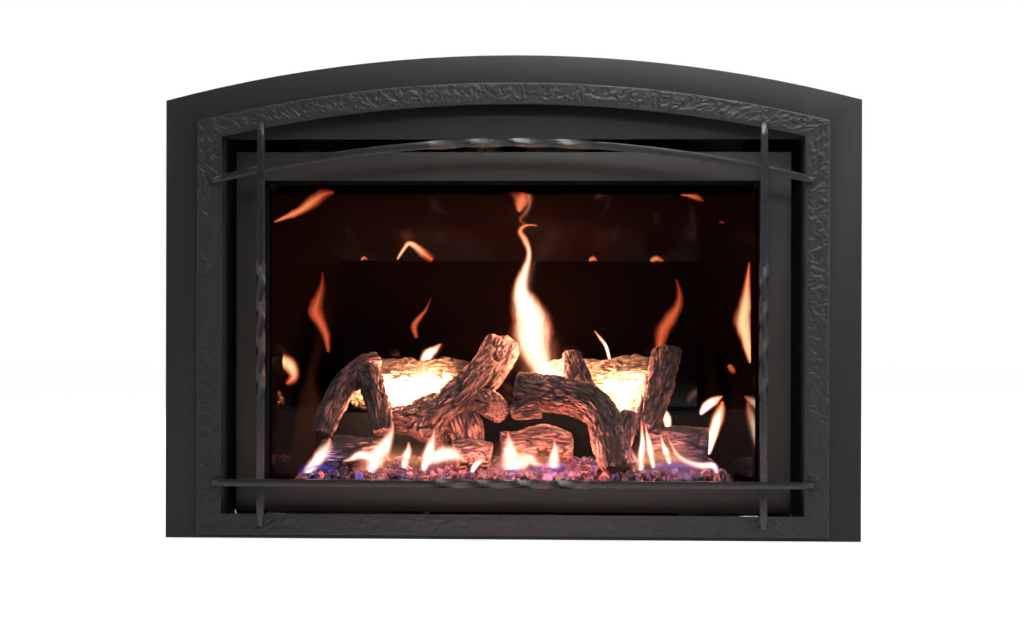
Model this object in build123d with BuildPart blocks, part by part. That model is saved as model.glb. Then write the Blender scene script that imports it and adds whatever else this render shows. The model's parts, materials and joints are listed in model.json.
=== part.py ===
# Gas fireplace insert with an arched hammered front, in millimetres.
# X runs to the right, Y to the back and Z up. The origin is on the hearth, in the middle
# of the plane where the surround meets the fireplace's facing.

import os
from math import atan2, cos, degrees, hypot, pi, radians, sin, sqrt

from build123d import *

os.makedirs("parts", exist_ok=True)

# Sheet and gaps
sheet = 1.6
firebox_sheet = 2.0
running_clearance = 0.05
slip_clearance = 0.4

# Surround
surround_border = 89  # beyond the casing at each side
surround_foot_gap = 2
surround_headroom = 6  # over the casing, at the arch's ends
arch_rise = 72
surround_depth = 34
surround_inner_flange = 12
cutout_play = 2
bracket_bottom = 150
bracket_height = 400
bracket_reach = 30
bracket_setback = 10
bracket_flange = 34
bracket_room = 6

# Hammered face band, set in from the surround's outline
band_border_side = 52
band_border_top = 44.4
band_border_bottom = 6.7
band_width_side = 39
band_width_top = 35
band_width_bottom = 33.3
band_thickness = 5
band_edge_chamfer = 1.2
band_overlap = 10
magnet_radius = 9
magnet_height = 3
magnet_heights = (120, 350, 580)  # up each side of the band
magnet_spots = (-250, 0, 250)  # along the arch

# Forged bars
bar_size = 11
bar_standoff = 4
side_bar_inset = 66
side_bar_bottom = 23
side_bar_rise = 23  # over the hood's foot
side_twist_height = 340
side_twist_length = 230
cross_bar_inset = 25
upper_bar_drop = 8.5  # under the hood's foot
upper_bar_rise = 61
upper_twist_length = 277
lower_bar_height = 93
lower_twist_length = 258
tip_length = 24
tip_size = 5
twist_turns = 1

# Hood
hood_side_gap = 4  # inside the surround's opening
hood_gap = 20
hood_top_border = 60
hood_return = 12
hood_play = 2

# Window
window_border = 52
window_bottom = 43
window_top_lap = 27  # over the firebox
window_front = -2
window_member_side = 45.5
window_member_top = 46
window_member_bottom = 49
window_return = 14
glass_thickness = 5
glass_margin = 13
gasket_width = 8
gasket_margin = 6
gasket_corner = 3
seal_gap = 0.3
hinge_pin_radius = 3
hinge_drop = 8
hinge_inset = 27
hinge_ear = 4
knuckle_radius = 5
knuckle_length = 10
catch_width = 30
catch_inset = 50
catch_drop = 5

# Casing
casing_side_room = 72
casing_headroom = 102
casing_front = -15
casing_bend = 60
casing_depth = 440
casing_back_width = 780
casing_back_headroom = 0
roof_slope_start = 330
casing_lip = 14
casing_flange = 14
anchor_spacing_x = 820
anchor_spacing_y = 140
anchor_front = 60
anchor_radius = 4.2
bolt_radius = 4
bolt_head = 13
bolt_inset = 20
bolt_front = 10
bolt_back_inset = 25
bolt_head_height = 5
nut_radius = 7
nut_height = 6.4

# Firebox, sized by the inner faces of its glass liners
firebox_front = 13
firebox_bottom = 60
firebox_height = 540
liner_front_half = 394
liner_back_half = 318
liner_back = 330
liner_thickness = 4
ceiling_front = 40
ceiling_front_drop = 39.5
ceiling_back_drop = 142
front_frame_border = 44
front_frame_bottom = 48
front_frame_rise = 17
front_opening_bottom = 88
front_opening_drop = 25
rail_inset = 170  # from the casing's side to the rail's middle
rail_width = 30
rail_start = 118
rail_length = 206

# Burner deck
deck_front = 30
deck_height = 92
deck_back = 205
shelf_height = 192
shelf_back = 300
deck_clearance = 3
port_pitch = 42
port_row_gap = 34
port_count = 12
port_width = 4
port_bridge = 12
ember_side_gap = 24
ember_thickness = 12
ember_rise = 14
ember_foot = (3, 6)  # back from the deck's front edge
ember_slope = (34, 86)
ember_crest_inset = 30  # from the deck's back
log_unit = 1  # length of one step in the log stations
burner_radius = 11
burner_wall = 1.5
burner_length = 520
burner_depth = 85
burner_height = 78
mixer_radius = 10
mixer_step = 76  # from the igniter
mixer_bottom = 30
shutter_bottom = 32

# Vents
collar_radius = 38
collar_wall = 1.5
collar_spacing = 130
collar_depth = 240
collar_rise = 40
collar_flange = 10
vent_plate_margin = 22
vent_plate_corner = 8
collar_hole_play = 4
duct_width = 96
duct_rise = 50
duct_bottom = 64
duct_depth = 34
duct_front_room = 6
duct_sheet = 1.2
air_port_width = 70
air_port_height = 22
air_port_centre = 78

# Controls
panel_depth = 20
panel_margin = 10
tray_margin = 8
igniter_margin = 30
gland_radius = 11
gland_bore = 4
gland_head = 2.5
gland_flange = 4
gland_play = 0.6
gland_reach = 6
panel_bottom_height = 50
control_height = 24
knob_radius = 14
knob_depth = 16
knob_gap = 0.5
knob_taper = 6
knob_grip_inset = 5
knob_stem_radius = 3
knob_stem_length = 12
gas_knob_inset = 140  # from the casing's left side
flame_knob_step = 50
igniter_step = 54
fan_knob_inset = 150  # from the right side
valve_width = 120
valve_depth = 84
valve_height = 40
valve_corner = 6
valve_chamfer = 3
regulator_radius = 16
regulator_height = 9
regulator_place = 0.6  # share of the valve's depth
socket_margin = 4
button_radius = 7
button_stem_radius = 4
button_travel = 5
igniter_body_radius = 11
igniter_body_length = 34
igniter_cap = 4
button_edge = 1.5
button_cap_depth = 6
pipe_radius = 8
pipe_wall = 2
coupling_wall = 4
coupling_length = 20
pipe_hole_radius = 20
gas_thread_radius = 8.2
gas_thread_length = 14
tube_radius = 4
tube_nut_wall = 3
pilot_tube_radius = 2.5
pilot_tube_bend = 14
pilot_tube_setback = 40
pilot_hole_play = 1
pilot_x = 70
pilot_y = 180
pilot_plate_width = 32
pilot_plate_depth = 18
pilot_hood = (0, 6, 24)  # place along X from the pilot's centre, radius and height
pilot_spark_rod = (-11, 1.5, 32)
pilot_sensor = (11, 2.5, 30)
pilot_slot_width = 12
pilot_slot_height = 6
pilot_slot_drop = 5
pipe_length = 78
boss_length = 8
boss_wall = 5
boss_root = 5
nut_length = 12
holder_width = 28
holder_height = 20
holder_foot_inset = 4
orifice_radius = 1.2
orifice_depth = 8
orifice_seat = 3
shutter_wall = 1.5
shutter_height = 14
lever_front = 16
lever_width = 6
lever_thickness = 3
lever_pad = (10, 7, 4)  # width, height and thickness
shutter_port_margin = 3
box_width = 100
box_depth = 76
box_height = 46

# Blower
blower_axis_y = 381
blower_axis_z = 44
wheel_radius = 28
wheel_length = 80
wheel_blades = 20
hub_thickness = 3
blade_thickness = 1.2
blade_depth = 8
blade_angle = 35
motor_radius = 28
motor_length = 76
motor_centre = -158
motor_edge = 3
motor_foot_inset = 12
motor_foot_depth = 39.2
housing_radius = 36
housing_sheet = 1.5
housing_gap = 3
inlet_radius = 20
outlet_height = 52
foot_width = 34
foot_height = 9
shaft_radius = 3

# Places that follow from the sizes above
front_half = liner_front_half + liner_thickness
casing_width = 2 * (front_half + casing_side_room)
firebox_top = firebox_bottom + firebox_height
casing_height = firebox_top + casing_headroom
casing_back_height = firebox_top + casing_back_headroom
ceiling_front_height = firebox_top - ceiling_front_drop
ceiling_back_height = firebox_top - ceiling_back_drop
front_frame_top = firebox_top + front_frame_rise
front_opening_top = firebox_top - front_opening_drop
window_top = firebox_top + window_top_lap
hood_bottom = window_top + hood_gap
side_bar_top = hood_bottom + side_bar_rise
upper_bar_crown = hood_bottom - upper_bar_drop
collar_top = casing_height + collar_rise
duct_top = firebox_top + duct_rise
surround_corner_height = casing_height + surround_headroom
surround_width = casing_width + 2 * surround_border
gas_knob_x = gas_knob_inset - casing_width / 2
flame_knob_x = gas_knob_x + flame_knob_step
igniter_x = flame_knob_x + igniter_step
fan_knob_x = casing_width / 2 - fan_knob_inset
mixer_offset = igniter_x + mixer_step
rail_offset = casing_width / 2 - rail_inset
arch_radius = ((surround_width / 2) ** 2 + arch_rise**2) / (2 * arch_rise)
arch_centre = surround_corner_height + arch_rise - arch_radius
band_half = surround_width / 2 - band_border_side
band_inner_half = band_half - band_width_side
band_bottom = surround_foot_gap + band_border_bottom
band_inner_bottom = band_bottom + band_width_bottom
band_inner_drop = band_border_top + band_width_top
band_back = -surround_depth - magnet_height
band_front = band_back - band_thickness
cross_bar_reach = band_half - cross_bar_inset
side_bar_offset = band_inner_half - side_bar_inset
bar_centre = band_front - bar_standoff - bar_size / 2
casing_back = casing_front + casing_depth
front_frame_width = 2 * (front_half + front_frame_border)
window_width = 2 * (front_half + window_border)
glass_front = window_front + firebox_sheet
front_frame_front = firebox_front - firebox_sheet
wall_inner = liner_thickness
wall_outer = liner_thickness + firebox_sheet
firebox_back = liner_back + wall_outer
deck_floor = firebox_bottom + firebox_sheet


def front_plane(depth):
    """Sketch plane that faces the front, at a depth behind the facing."""
    return Plane.XZ.offset(-depth)


def side_plane(x):
    """Sketch plane square to X, with Y across and Z up."""
    return Plane.YZ.offset(x)


def save(piece, name):
    """Name a finished piece and write it to its own file."""
    piece.label = name
    export_step(piece, f"parts/{name}.step")


def arch_height(x, drop):
    """Height of the arch that runs a given drop inside the surround's outline."""
    return arch_centre + sqrt((arch_radius - drop) ** 2 - x**2)


def arched_face(half_width, bottom, drop, mode=Mode.ADD):
    """Face with straight sides and foot, and a top that follows the arch."""
    corner = arch_height(half_width, drop)
    with BuildLine() as outline:
        Polyline((-half_width, corner), (-half_width, bottom), (half_width, bottom), (half_width, corner))
        ThreePointArc((half_width, corner), (0, arch_height(0, drop)), (-half_width, corner))
    make_face(outline.edges(), mode=mode)


def tapered_plan(front_half, back_half, front, back, bend=None, mode=Mode.ADD):
    """Plan outline that narrows towards the back, from a bend if there is one."""
    start = front if bend is None else bend
    sides = [(back_half, back), (-back_half, back), (-front_half, start)]
    corners = [(-front_half, front), (front_half, front), (front_half, start)] + sides
    with BuildLine() as outline:
        Polyline(*[p for i, p in enumerate(corners) if p not in corners[:i]], close=True)
    make_face(outline.edges(), mode=mode)


def casing_plan(inset, front, mode=Mode.ADD):
    """Plan of the casing, drawn in from its outer faces."""
    tapered_plan(
        casing_width / 2 - inset,
        casing_back_width / 2 - inset,
        front,
        casing_back - inset,
        casing_bend,
        mode,
    )


def firebox_plan(outset, front=firebox_front, mode=Mode.ADD):
    """Plan of the firebox, drawn out from the inner faces of its liners."""
    tapered_plan(
        liner_half(front) + outset,
        liner_back_half + outset,
        front,
        liner_back + outset,
        None,
        mode,
    )


def liner_half(depth):
    """Half the room between the side liners at a depth."""
    taper = (liner_front_half - liner_back_half) / (liner_back - firebox_front)
    return liner_front_half - (depth - firebox_front) * taper


def frame_face(width, bottom, top, mode=Mode.ADD):
    """Upright rectangle centred on the middle of the object."""
    with Locations((0, (bottom + top) / 2)):
        Rectangle(width, top - bottom, mode=mode)


# ---- Surround and hood ----

opening_half = band_inner_half + band_overlap
opening_bottom = band_inner_bottom - band_overlap
opening_drop = band_inner_drop - band_overlap

with BuildPart() as surround_panel:
    with BuildSketch(front_plane(0)):
        arched_face(surround_width / 2, surround_foot_gap, 0)
    extrude(amount=surround_depth)
    with BuildSketch(front_plane(0)):
        arched_face(surround_width / 2 - sheet, surround_foot_gap + sheet, sheet)
    extrude(amount=surround_depth - sheet, mode=Mode.SUBTRACT)
    with BuildSketch(front_plane(-surround_depth + surround_inner_flange)):
        arched_face(opening_half + sheet, opening_bottom - sheet, opening_drop - sheet)
    extrude(amount=surround_inner_flange)
    with BuildSketch(front_plane(0)):
        arched_face(opening_half, opening_bottom, opening_drop)
    extrude(amount=surround_depth, mode=Mode.SUBTRACT)
    with BuildSketch(front_plane(0)):
        cutout_width = casing_width + 2 * (casing_flange + cutout_play)
        frame_face(cutout_width, surround_foot_gap, surround_foot_gap + sheet)
    extrude(amount=1 - casing_front, mode=Mode.SUBTRACT)
save(surround_panel.part, "surround_panel")

with BuildPart() as surround_brackets:
    leg = casing_width / 2
    step = opening_half + sheet + bracket_room
    face_back = sheet - surround_depth
    with BuildSketch(Plane.XY.offset(bracket_bottom)):
        with BuildLine():
            Polyline(
                (leg, bracket_reach),
                (leg, -bracket_setback),
                (step, -bracket_setback),
                (step, face_back),
                (step + bracket_flange, face_back),
            )
            offset(amount=sheet, side=Side.LEFT)
        make_face()
    extrude(amount=bracket_height)
    mirror(about=Plane.YZ)
save(surround_brackets.part, "surround_brackets")

with BuildPart() as upper_hood:
    with BuildSketch(front_plane(casing_front)):
        arched_face(opening_half - hood_side_gap, hood_bottom, hood_top_border)
    extrude(amount=sheet)
    with BuildSketch(front_plane(casing_front + hood_return)):
        frame_face(casing_width - 2 * sheet - hood_play, hood_bottom, hood_bottom + sheet)
    extrude(amount=hood_return)
save(upper_hood.part, "upper_hood")

# ---- Hammered face band and its magnets ----

with BuildPart() as hammered_face:
    with BuildSketch(front_plane(band_back)):
        arched_face(band_half, band_bottom, band_border_top)
        arched_face(band_inner_half, band_inner_bottom, band_inner_drop, mode=Mode.SUBTRACT)
    extrude(amount=band_thickness)
    front_edges = hammered_face.faces().sort_by(Axis.Y)[0].edges()
    chamfer(front_edges, band_edge_chamfer)
save(hammered_face.part, "hammered_face")

with BuildPart() as face_magnets:
    edge_x = (opening_half + band_half) / 2
    edge_drop = (band_border_top + opening_drop) / 2
    spots = [(side * edge_x, z) for side in (-1, 1) for z in magnet_heights]
    spots += [(x, arch_height(x, edge_drop)) for x in magnet_spots]
    with BuildSketch(front_plane(-surround_depth)):
        with Locations(*spots):
            Circle(magnet_radius)
    extrude(amount=magnet_height)
save(face_magnets.part, "face_magnets")

# ---- Forged bars: square, twisted through the middle, tips drawn out and bent to the plate ----


def bar_section(line):
    """Square section at the start of a line, with one side to the front."""
    with BuildSketch(Plane(origin=line @ 0, x_dir=(0, 1, 0), z_dir=line % 0)) as section:
        Rectangle(bar_size, bar_size)
    return section.sketch


def twist_guide(line, turns, points=24):
    """Curve that winds round a line and leads the twist of a section."""
    back = Vector(0, 1, 0)
    route = []
    for i in range(points + 1):
        t = i / points
        turn = 2 * pi * turns * t
        side = (line % t).cross(back)
        route.append(line @ t + (back * sin(turn) + side * cos(turn)) * bar_size)
    return Edge.make_spline(route)


def bent_tip(line, position):
    """Drawn-out end of a bar, which bends back until it stands on the face band."""
    outward = line % position if position > 0.5 else (line % position) * -1
    back = Vector(0, 1, 0)
    reach_back = band_front - bar_centre
    sections = []
    for turn in (0, 30, 55, 75, 90):
        t = radians(turn)
        size = bar_size + (tip_size - bar_size) * turn / 90
        centre = line @ position + outward * tip_length * sin(t) + back * reach_back * (1 - cos(t))
        heading = outward * tip_length * cos(t) + back * reach_back * sin(t)
        with BuildSketch(Plane(origin=centre, x_dir=outward.cross(back), z_dir=heading)) as section:
            Rectangle(size, size)
        sections.append(section.sketch)
    loft(sections)


def forged_bar(line, twist_start, twist_end):
    """Whole bar on a line: plain, twisted between two distances, plain, and two tips."""
    start, end = twist_start / line.length, twist_end / line.length
    for stretch in (line.trim(0, start), line.trim(end, 1)):
        sweep(bar_section(stretch), path=stretch)
    middle = line.trim(start, end)
    sweep(bar_section(middle), path=middle, binormal=twist_guide(middle, twist_turns))
    bent_tip(line, 0)
    bent_tip(line, 1)
    split(bisect_by=front_plane(band_front), keep=Keep.TOP)


upper_radius = (cross_bar_reach**2 + upper_bar_rise**2) / (2 * upper_bar_rise)
upper_centre = upper_bar_crown - upper_radius
line_reach = cross_bar_reach - tip_length


def upper_line_point(x):
    """Point on the upper bar's arched line."""
    return (x, bar_centre, upper_centre + sqrt(upper_radius**2 - x**2))


upper_line = Edge.make_three_point_arc(
    upper_line_point(-line_reach), upper_line_point(0), upper_line_point(line_reach)
)
lower_line = Edge.make_line(
    (-line_reach, bar_centre, lower_bar_height), (line_reach, bar_centre, lower_bar_height)
)
side_line = Edge.make_line(
    (side_bar_offset, bar_centre, side_bar_bottom + tip_length),
    (side_bar_offset, bar_centre, side_bar_top - tip_length),
)

with BuildPart() as upper_bar:
    middle_of_line = upper_line.length / 2
    forged_bar(
        upper_line,
        middle_of_line - upper_twist_length / 2,
        middle_of_line + upper_twist_length / 2,
    )
    with BuildSketch(front_plane(bar_centre)):
        lap_height = upper_line_point(side_bar_offset)[2]
        with Locations((side_bar_offset, lap_height), (-side_bar_offset, lap_height)):
            Rectangle(bar_size, 3 * bar_size)
    extrude(amount=bar_size, mode=Mode.SUBTRACT)
save(upper_bar.part, "upper_bar")

with BuildPart() as lower_bar:
    forged_bar(lower_line, line_reach - lower_twist_length / 2, line_reach + lower_twist_length / 2)
    with BuildSketch(front_plane(bar_centre)):
        with Locations((side_bar_offset, lower_bar_height), (-side_bar_offset, lower_bar_height)):
            Rectangle(bar_size, 2 * bar_size)
    extrude(amount=-bar_size, mode=Mode.SUBTRACT)
save(lower_bar.part, "lower_bar")

with BuildPart() as right_bar:
    twist_from = side_twist_height - side_twist_length / 2 - (side_bar_bottom + tip_length)
    forged_bar(side_line, twist_from, twist_from + side_twist_length)
    with BuildSketch(front_plane(bar_centre)):
        with Locations((side_bar_offset, lower_bar_height)):
            Rectangle(2 * bar_size, bar_size)
    extrude(amount=bar_size, mode=Mode.SUBTRACT)
    lap_angle = degrees(2 * bar_size / upper_radius)
    lap_start = degrees(atan2(upper_line_point(side_bar_offset)[2] - upper_centre, side_bar_offset))
    with BuildSketch(front_plane(bar_centre)):
        with BuildLine():
            inner_arc = CenterArc(
                (0, upper_centre), upper_radius - bar_size / 2, lap_start - lap_angle, 2 * lap_angle
            )
            outer_arc = CenterArc(
                (0, upper_centre), upper_radius + bar_size / 2, lap_start - lap_angle, 2 * lap_angle
            )
            Line(inner_arc @ 0, outer_arc @ 0)
            Line(inner_arc @ 1, outer_arc @ 1)
        make_face()
    extrude(amount=-bar_size, mode=Mode.SUBTRACT)
save(right_bar.part, "right_bar")

with BuildPart() as left_bar:
    mirror(right_bar.part, about=Plane.YZ)
save(left_bar.part, "left_bar")

# ---- Window ----

with BuildPart() as window_frame:
    window_back = window_front + window_return
    with BuildSketch(front_plane(window_back)):
        frame_face(window_width, window_bottom, window_top)
        frame_face(
            window_width - 2 * firebox_sheet,
            window_bottom + firebox_sheet,
            window_top - firebox_sheet,
            mode=Mode.SUBTRACT,
        )
    extrude(amount=window_return)
    with BuildSketch(front_plane(glass_front)):
        frame_face(window_width, window_bottom, window_top)
    extrude(amount=firebox_sheet)
    with BuildSketch(front_plane(glass_front)):
        frame_face(
            window_width - 2 * window_member_side,
            window_bottom + window_member_bottom,
            window_top - window_member_top,
        )
    extrude(amount=firebox_sheet, mode=Mode.SUBTRACT)
    hinge_height = window_top - hinge_drop
    hinge_depth = glass_front + knuckle_radius + 0.5
    for side in (-1, 1):
        x = side * (window_width / 2 - hinge_inset) - knuckle_length / 2
        with BuildSketch(side_plane(x)):
            with Locations((hinge_depth, hinge_height)):
                Circle(knuckle_radius)
            with Locations(((glass_front + hinge_depth) / 2, hinge_height)):
                Rectangle(hinge_depth - glass_front, 2 * knuckle_radius - 1)
            with Locations((hinge_depth, hinge_height)):
                Circle(hinge_pin_radius + running_clearance, mode=Mode.SUBTRACT)
        extrude(amount=knuckle_length)
save(window_frame.part, "window_frame")

glass_half = window_width / 2 - glass_margin
glass_bottom = window_bottom + glass_margin
glass_top = hinge_height - knuckle_radius - 2
gasket_front = glass_front + glass_thickness
gasket_back = front_frame_front - seal_gap

with BuildPart() as window_glass:
    with BuildSketch(front_plane(gasket_front)):
        frame_face(2 * glass_half, glass_bottom, glass_top)
    extrude(amount=glass_thickness)
save(window_glass.part, "window_glass")

with BuildPart() as window_gasket:
    with BuildSketch(front_plane(gasket_back)):
        frame_face(
            2 * (glass_half - gasket_margin), glass_bottom + gasket_margin, glass_top - gasket_margin
        )
        inner_margin = gasket_margin + gasket_width
        frame_face(
            2 * (glass_half - inner_margin),
            glass_bottom + inner_margin,
            glass_top - inner_margin,
            mode=Mode.SUBTRACT,
        )
    extrude(amount=gasket_back - gasket_front)
    fillet(window_gasket.edges().filter_by(Axis.Y), gasket_corner)
save(window_gasket.part, "window_gasket")

with BuildPart() as window_hinges:
    ear_start = window_width / 2 - hinge_inset + knuckle_length / 2 + slip_clearance
    with BuildSketch(side_plane(ear_start)):
        with Locations(((glass_front + 1.5 + front_frame_front) / 2, hinge_height - 1)):
            Rectangle(front_frame_front - glass_front - 1.5, 2 * knuckle_radius)
    extrude(amount=hinge_ear)
    with BuildSketch(side_plane(ear_start)):
        with Locations((hinge_depth, hinge_height)):
            Circle(hinge_pin_radius)
    extrude(amount=-(knuckle_length + 2))
    mirror(about=Plane.YZ)
save(window_hinges.part, "window_hinges")

with BuildPart() as window_catches:
    with BuildSketch(side_plane(window_width / 2 - catch_inset)):
        with BuildLine():
            Polyline(
                (firebox_front, firebox_bottom - 2),
                (firebox_front, window_bottom - catch_drop),
                (window_front + 8, window_bottom - catch_drop),
                (window_front + 5, window_bottom - 1 - seal_gap),
                (window_front + 2, window_bottom - catch_drop),
                (window_front - 4, window_bottom - catch_drop - 2),
            )
            offset(amount=1, side=Side.LEFT)
        make_face()
    extrude(amount=-catch_width)
    mirror(about=Plane.YZ)
save(window_catches.part, "window_catches")

# ---- Casing ----


def roof_cut(drop, mode):
    """Cut or keep what lies above the roof, lowered by a drop."""
    reach = casing_width
    ahead, beyond = casing_front - 20, casing_back + 20
    fall = (casing_height - casing_back_height) / (casing_back - roof_slope_start)
    with BuildSketch(Plane.YZ) as above:
        with BuildLine():
            Polyline(
                (ahead, casing_height - drop),
                (roof_slope_start, casing_height - drop),
                (beyond, casing_height - drop - fall * (beyond - roof_slope_start)),
                (beyond, casing_height + casing_headroom),
                (ahead, casing_height + casing_headroom),
                close=True,
            )
        make_face()
    extrude(above.sketch, amount=reach, both=True, mode=mode)


bolt_spots = [
    (side * (half - bolt_inset), y)
    for side in (-1, 1)
    for half, y in ((casing_width / 2, bolt_front), (casing_back_width / 2, casing_back - bolt_back_inset))
]
anchor_centre = anchor_front + anchor_spacing_y / 2

with BuildPart() as casing_base:
    with BuildSketch():
        casing_plan(0, casing_front)
        with Locations((0, anchor_centre)):
            with GridLocations(anchor_spacing_x, anchor_spacing_y, 2, 2):
                Circle(anchor_radius, mode=Mode.SUBTRACT)
    extrude(amount=sheet)
    with BuildSketch(Plane.XY.offset(sheet)):
        with Locations(*bolt_spots):
            Circle(nut_radius)
    extrude(amount=nut_height)
    with BuildSketch():
        with Locations(*bolt_spots):
            Circle(bolt_radius + running_clearance)
    extrude(amount=sheet + nut_height, mode=Mode.SUBTRACT)
save(casing_base.part, "casing_base")

with BuildPart() as levelling_bolts:
    with BuildSketch():
        with Locations(*bolt_spots):
            Circle(bolt_radius)
    extrude(amount=sheet + nut_height)
    with BuildSketch(Plane.XY.offset(sheet + nut_height)):
        with Locations(*bolt_spots):
            RegularPolygon(bolt_head / 2, 6, major_radius=False)
    extrude(amount=bolt_head_height)
save(levelling_bolts.part, "levelling_bolts")

inlet_y = panel_depth + sheet + valve_depth / 2
gland_y = panel_depth + box_depth

with BuildPart() as casing_sides:
    wall_run = casing_back - sheet - casing_front
    with BuildSketch(Plane.XY.offset(sheet)):
        casing_plan(0, casing_front)
        casing_plan(sheet, casing_front - 1, mode=Mode.SUBTRACT)
        with Locations((0, casing_front + wall_run / 2)):
            Rectangle(casing_width, wall_run, mode=Mode.INTERSECT)
        for side in (-1, 1):
            with Locations((side * (casing_width + casing_flange) / 2, casing_front + sheet / 2)):
                Rectangle(casing_flange, sheet)
    extrude(amount=casing_height - sheet)
    roof_cut(sheet, Mode.SUBTRACT)
    with BuildSketch(side_plane(-casing_width / 2)):
        with Locations((inlet_y, control_height)):
            Circle(pipe_hole_radius)
    extrude(amount=casing_width / 2, mode=Mode.SUBTRACT)
    with BuildSketch(Plane.YZ):
        with Locations((gland_y, control_height)):
            Circle(gland_radius)
    extrude(amount=casing_width / 2, mode=Mode.SUBTRACT)
save(casing_sides.part, "casing_sides")

with BuildPart() as casing_back_panel:
    with BuildSketch(front_plane(casing_back)):
        frame_face(casing_back_width, sheet, casing_height)
    extrude(amount=sheet)
    roof_cut(sheet, Mode.SUBTRACT)
save(casing_back_panel.part, "casing_back")

collar_spots = [(-collar_spacing / 2, collar_depth), (collar_spacing / 2, collar_depth)]

with BuildPart() as casing_top:
    with BuildSketch(Plane.XY.offset(firebox_bottom)):
        casing_plan(0, casing_front)
    extrude(amount=casing_height)
    roof_cut(0, Mode.SUBTRACT)
    roof_cut(sheet, Mode.INTERSECT)
    with BuildSketch(front_plane(casing_front + sheet)):
        lip_half = casing_width / 2 - sheet
        frame_face(2 * lip_half, casing_height - sheet - casing_lip, casing_height - sheet)
    extrude(amount=sheet)
    with BuildSketch(Plane.XY.offset(casing_height - 20)):
        with Locations(*collar_spots):
            Circle(collar_radius + collar_hole_play)
    extrude(amount=40, mode=Mode.SUBTRACT)
save(casing_top.part, "casing_top")

# ---- Firebox ----

with BuildPart() as firebox_floor:
    with BuildSketch(Plane.XY.offset(firebox_bottom)):
        firebox_plan(wall_outer)
        with Locations((mixer_offset, burner_depth)):
            Circle(burner_radius + slip_clearance, mode=Mode.SUBTRACT)
        with Locations((pilot_x, pilot_y)):
            Circle(pilot_tube_radius + slip_clearance, mode=Mode.SUBTRACT)
    extrude(amount=firebox_sheet)
save(firebox_floor.part, "firebox_floor")

with BuildPart() as firebox_sides:
    side_run = liner_back + liner_thickness - firebox_front
    with BuildSketch(Plane.XY.offset(deck_floor)):
        firebox_plan(wall_outer)
        firebox_plan(wall_inner, firebox_front - 1, mode=Mode.SUBTRACT)
        with Locations((0, firebox_front + side_run / 2)):
            Rectangle(casing_width, side_run, mode=Mode.INTERSECT)
    extrude(amount=firebox_top - deck_floor)
save(firebox_sides.part, "firebox_sides")

duct_x = collar_spacing / 2


def air_port(depth, thickness):
    """Cut the way for the fire's air through a wall of a given back face and thickness."""
    with BuildSketch(front_plane(depth)) as port:
        with Locations((duct_x, air_port_centre)):
            Rectangle(air_port_width, air_port_height)
    extrude(port.sketch, amount=thickness, mode=Mode.SUBTRACT)


with BuildPart() as firebox_back_panel:
    with BuildSketch(front_plane(firebox_back)):
        frame_face(2 * (liner_back_half + wall_outer), deck_floor, firebox_top)
    extrude(amount=firebox_sheet)
    air_port(firebox_back, firebox_sheet)
save(firebox_back_panel.part, "firebox_back")

with BuildPart() as firebox_top_panel:
    with BuildSketch(Plane.XY.offset(firebox_top)):
        firebox_plan(wall_outer)
        with Locations(collar_spots[0]):
            Circle(collar_radius - collar_wall, mode=Mode.SUBTRACT)
    extrude(amount=firebox_sheet)
save(firebox_top_panel.part, "firebox_top")

with BuildPart() as firebox_front_frame:
    with BuildSketch(front_plane(firebox_front)):
        frame_face(front_frame_width, front_frame_bottom, front_frame_top)
        frame_face(2 * front_half, front_opening_bottom, front_opening_top, mode=Mode.SUBTRACT)
    extrude(amount=firebox_sheet)
save(firebox_front_frame.part, "firebox_front_frame")

with BuildPart() as firebox_rails:
    rail_height = firebox_bottom - sheet
    with BuildSketch(front_plane(rail_start + rail_length)):
        for side in (-1, 1):
            with Locations((side * rail_offset, sheet + rail_height / 2)):
                Rectangle(rail_width, rail_height)
            with Locations((side * (rail_offset - firebox_sheet), sheet + rail_height / 2)):
                Rectangle(rail_width, rail_height - 2 * firebox_sheet, mode=Mode.SUBTRACT)
    extrude(amount=rail_length)
save(firebox_rails.part, "firebox_rails")

# ---- Black glass liners ----

ceiling_fall = (ceiling_front_height - ceiling_back_height) / (liner_back - ceiling_front)


def ceiling_height(depth):
    """Underside of the sloping ceiling at a depth."""
    return ceiling_front_height - (depth - ceiling_front) * ceiling_fall


def ceiling_cut(mode):
    """Cut or keep what lies above the ceiling's underside."""
    ahead, beyond = firebox_front - 5, firebox_back + 5
    with BuildSketch(Plane.YZ) as above:
        with BuildLine():
            Polyline(
                (ahead, ceiling_height(ahead)),
                (beyond, ceiling_height(beyond)),
                (beyond, firebox_top + 50),
                (ahead, firebox_top + 50),
                close=True,
            )
        make_face()
    extrude(above.sketch, amount=casing_width, both=True, mode=mode)


with BuildPart() as side_liners:
    liner_run = liner_back - firebox_front
    with BuildSketch(Plane.XY.offset(deck_floor)):
        firebox_plan(liner_thickness)
        firebox_plan(0, firebox_front - 1, mode=Mode.SUBTRACT)
        with Locations((0, firebox_front + liner_run / 2)):
            Rectangle(casing_width, liner_run, mode=Mode.INTERSECT)
    extrude(amount=firebox_height)
    ceiling_cut(Mode.SUBTRACT)
save(side_liners.part, "side_liners")

with BuildPart() as back_liner:
    with BuildSketch(front_plane(liner_back + liner_thickness)):
        frame_face(2 * liner_back_half, deck_floor, firebox_top)
    extrude(amount=liner_thickness)
    ceiling_cut(Mode.SUBTRACT)
    air_port(liner_back + liner_thickness, liner_thickness)
save(back_liner.part, "back_liner")

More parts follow.
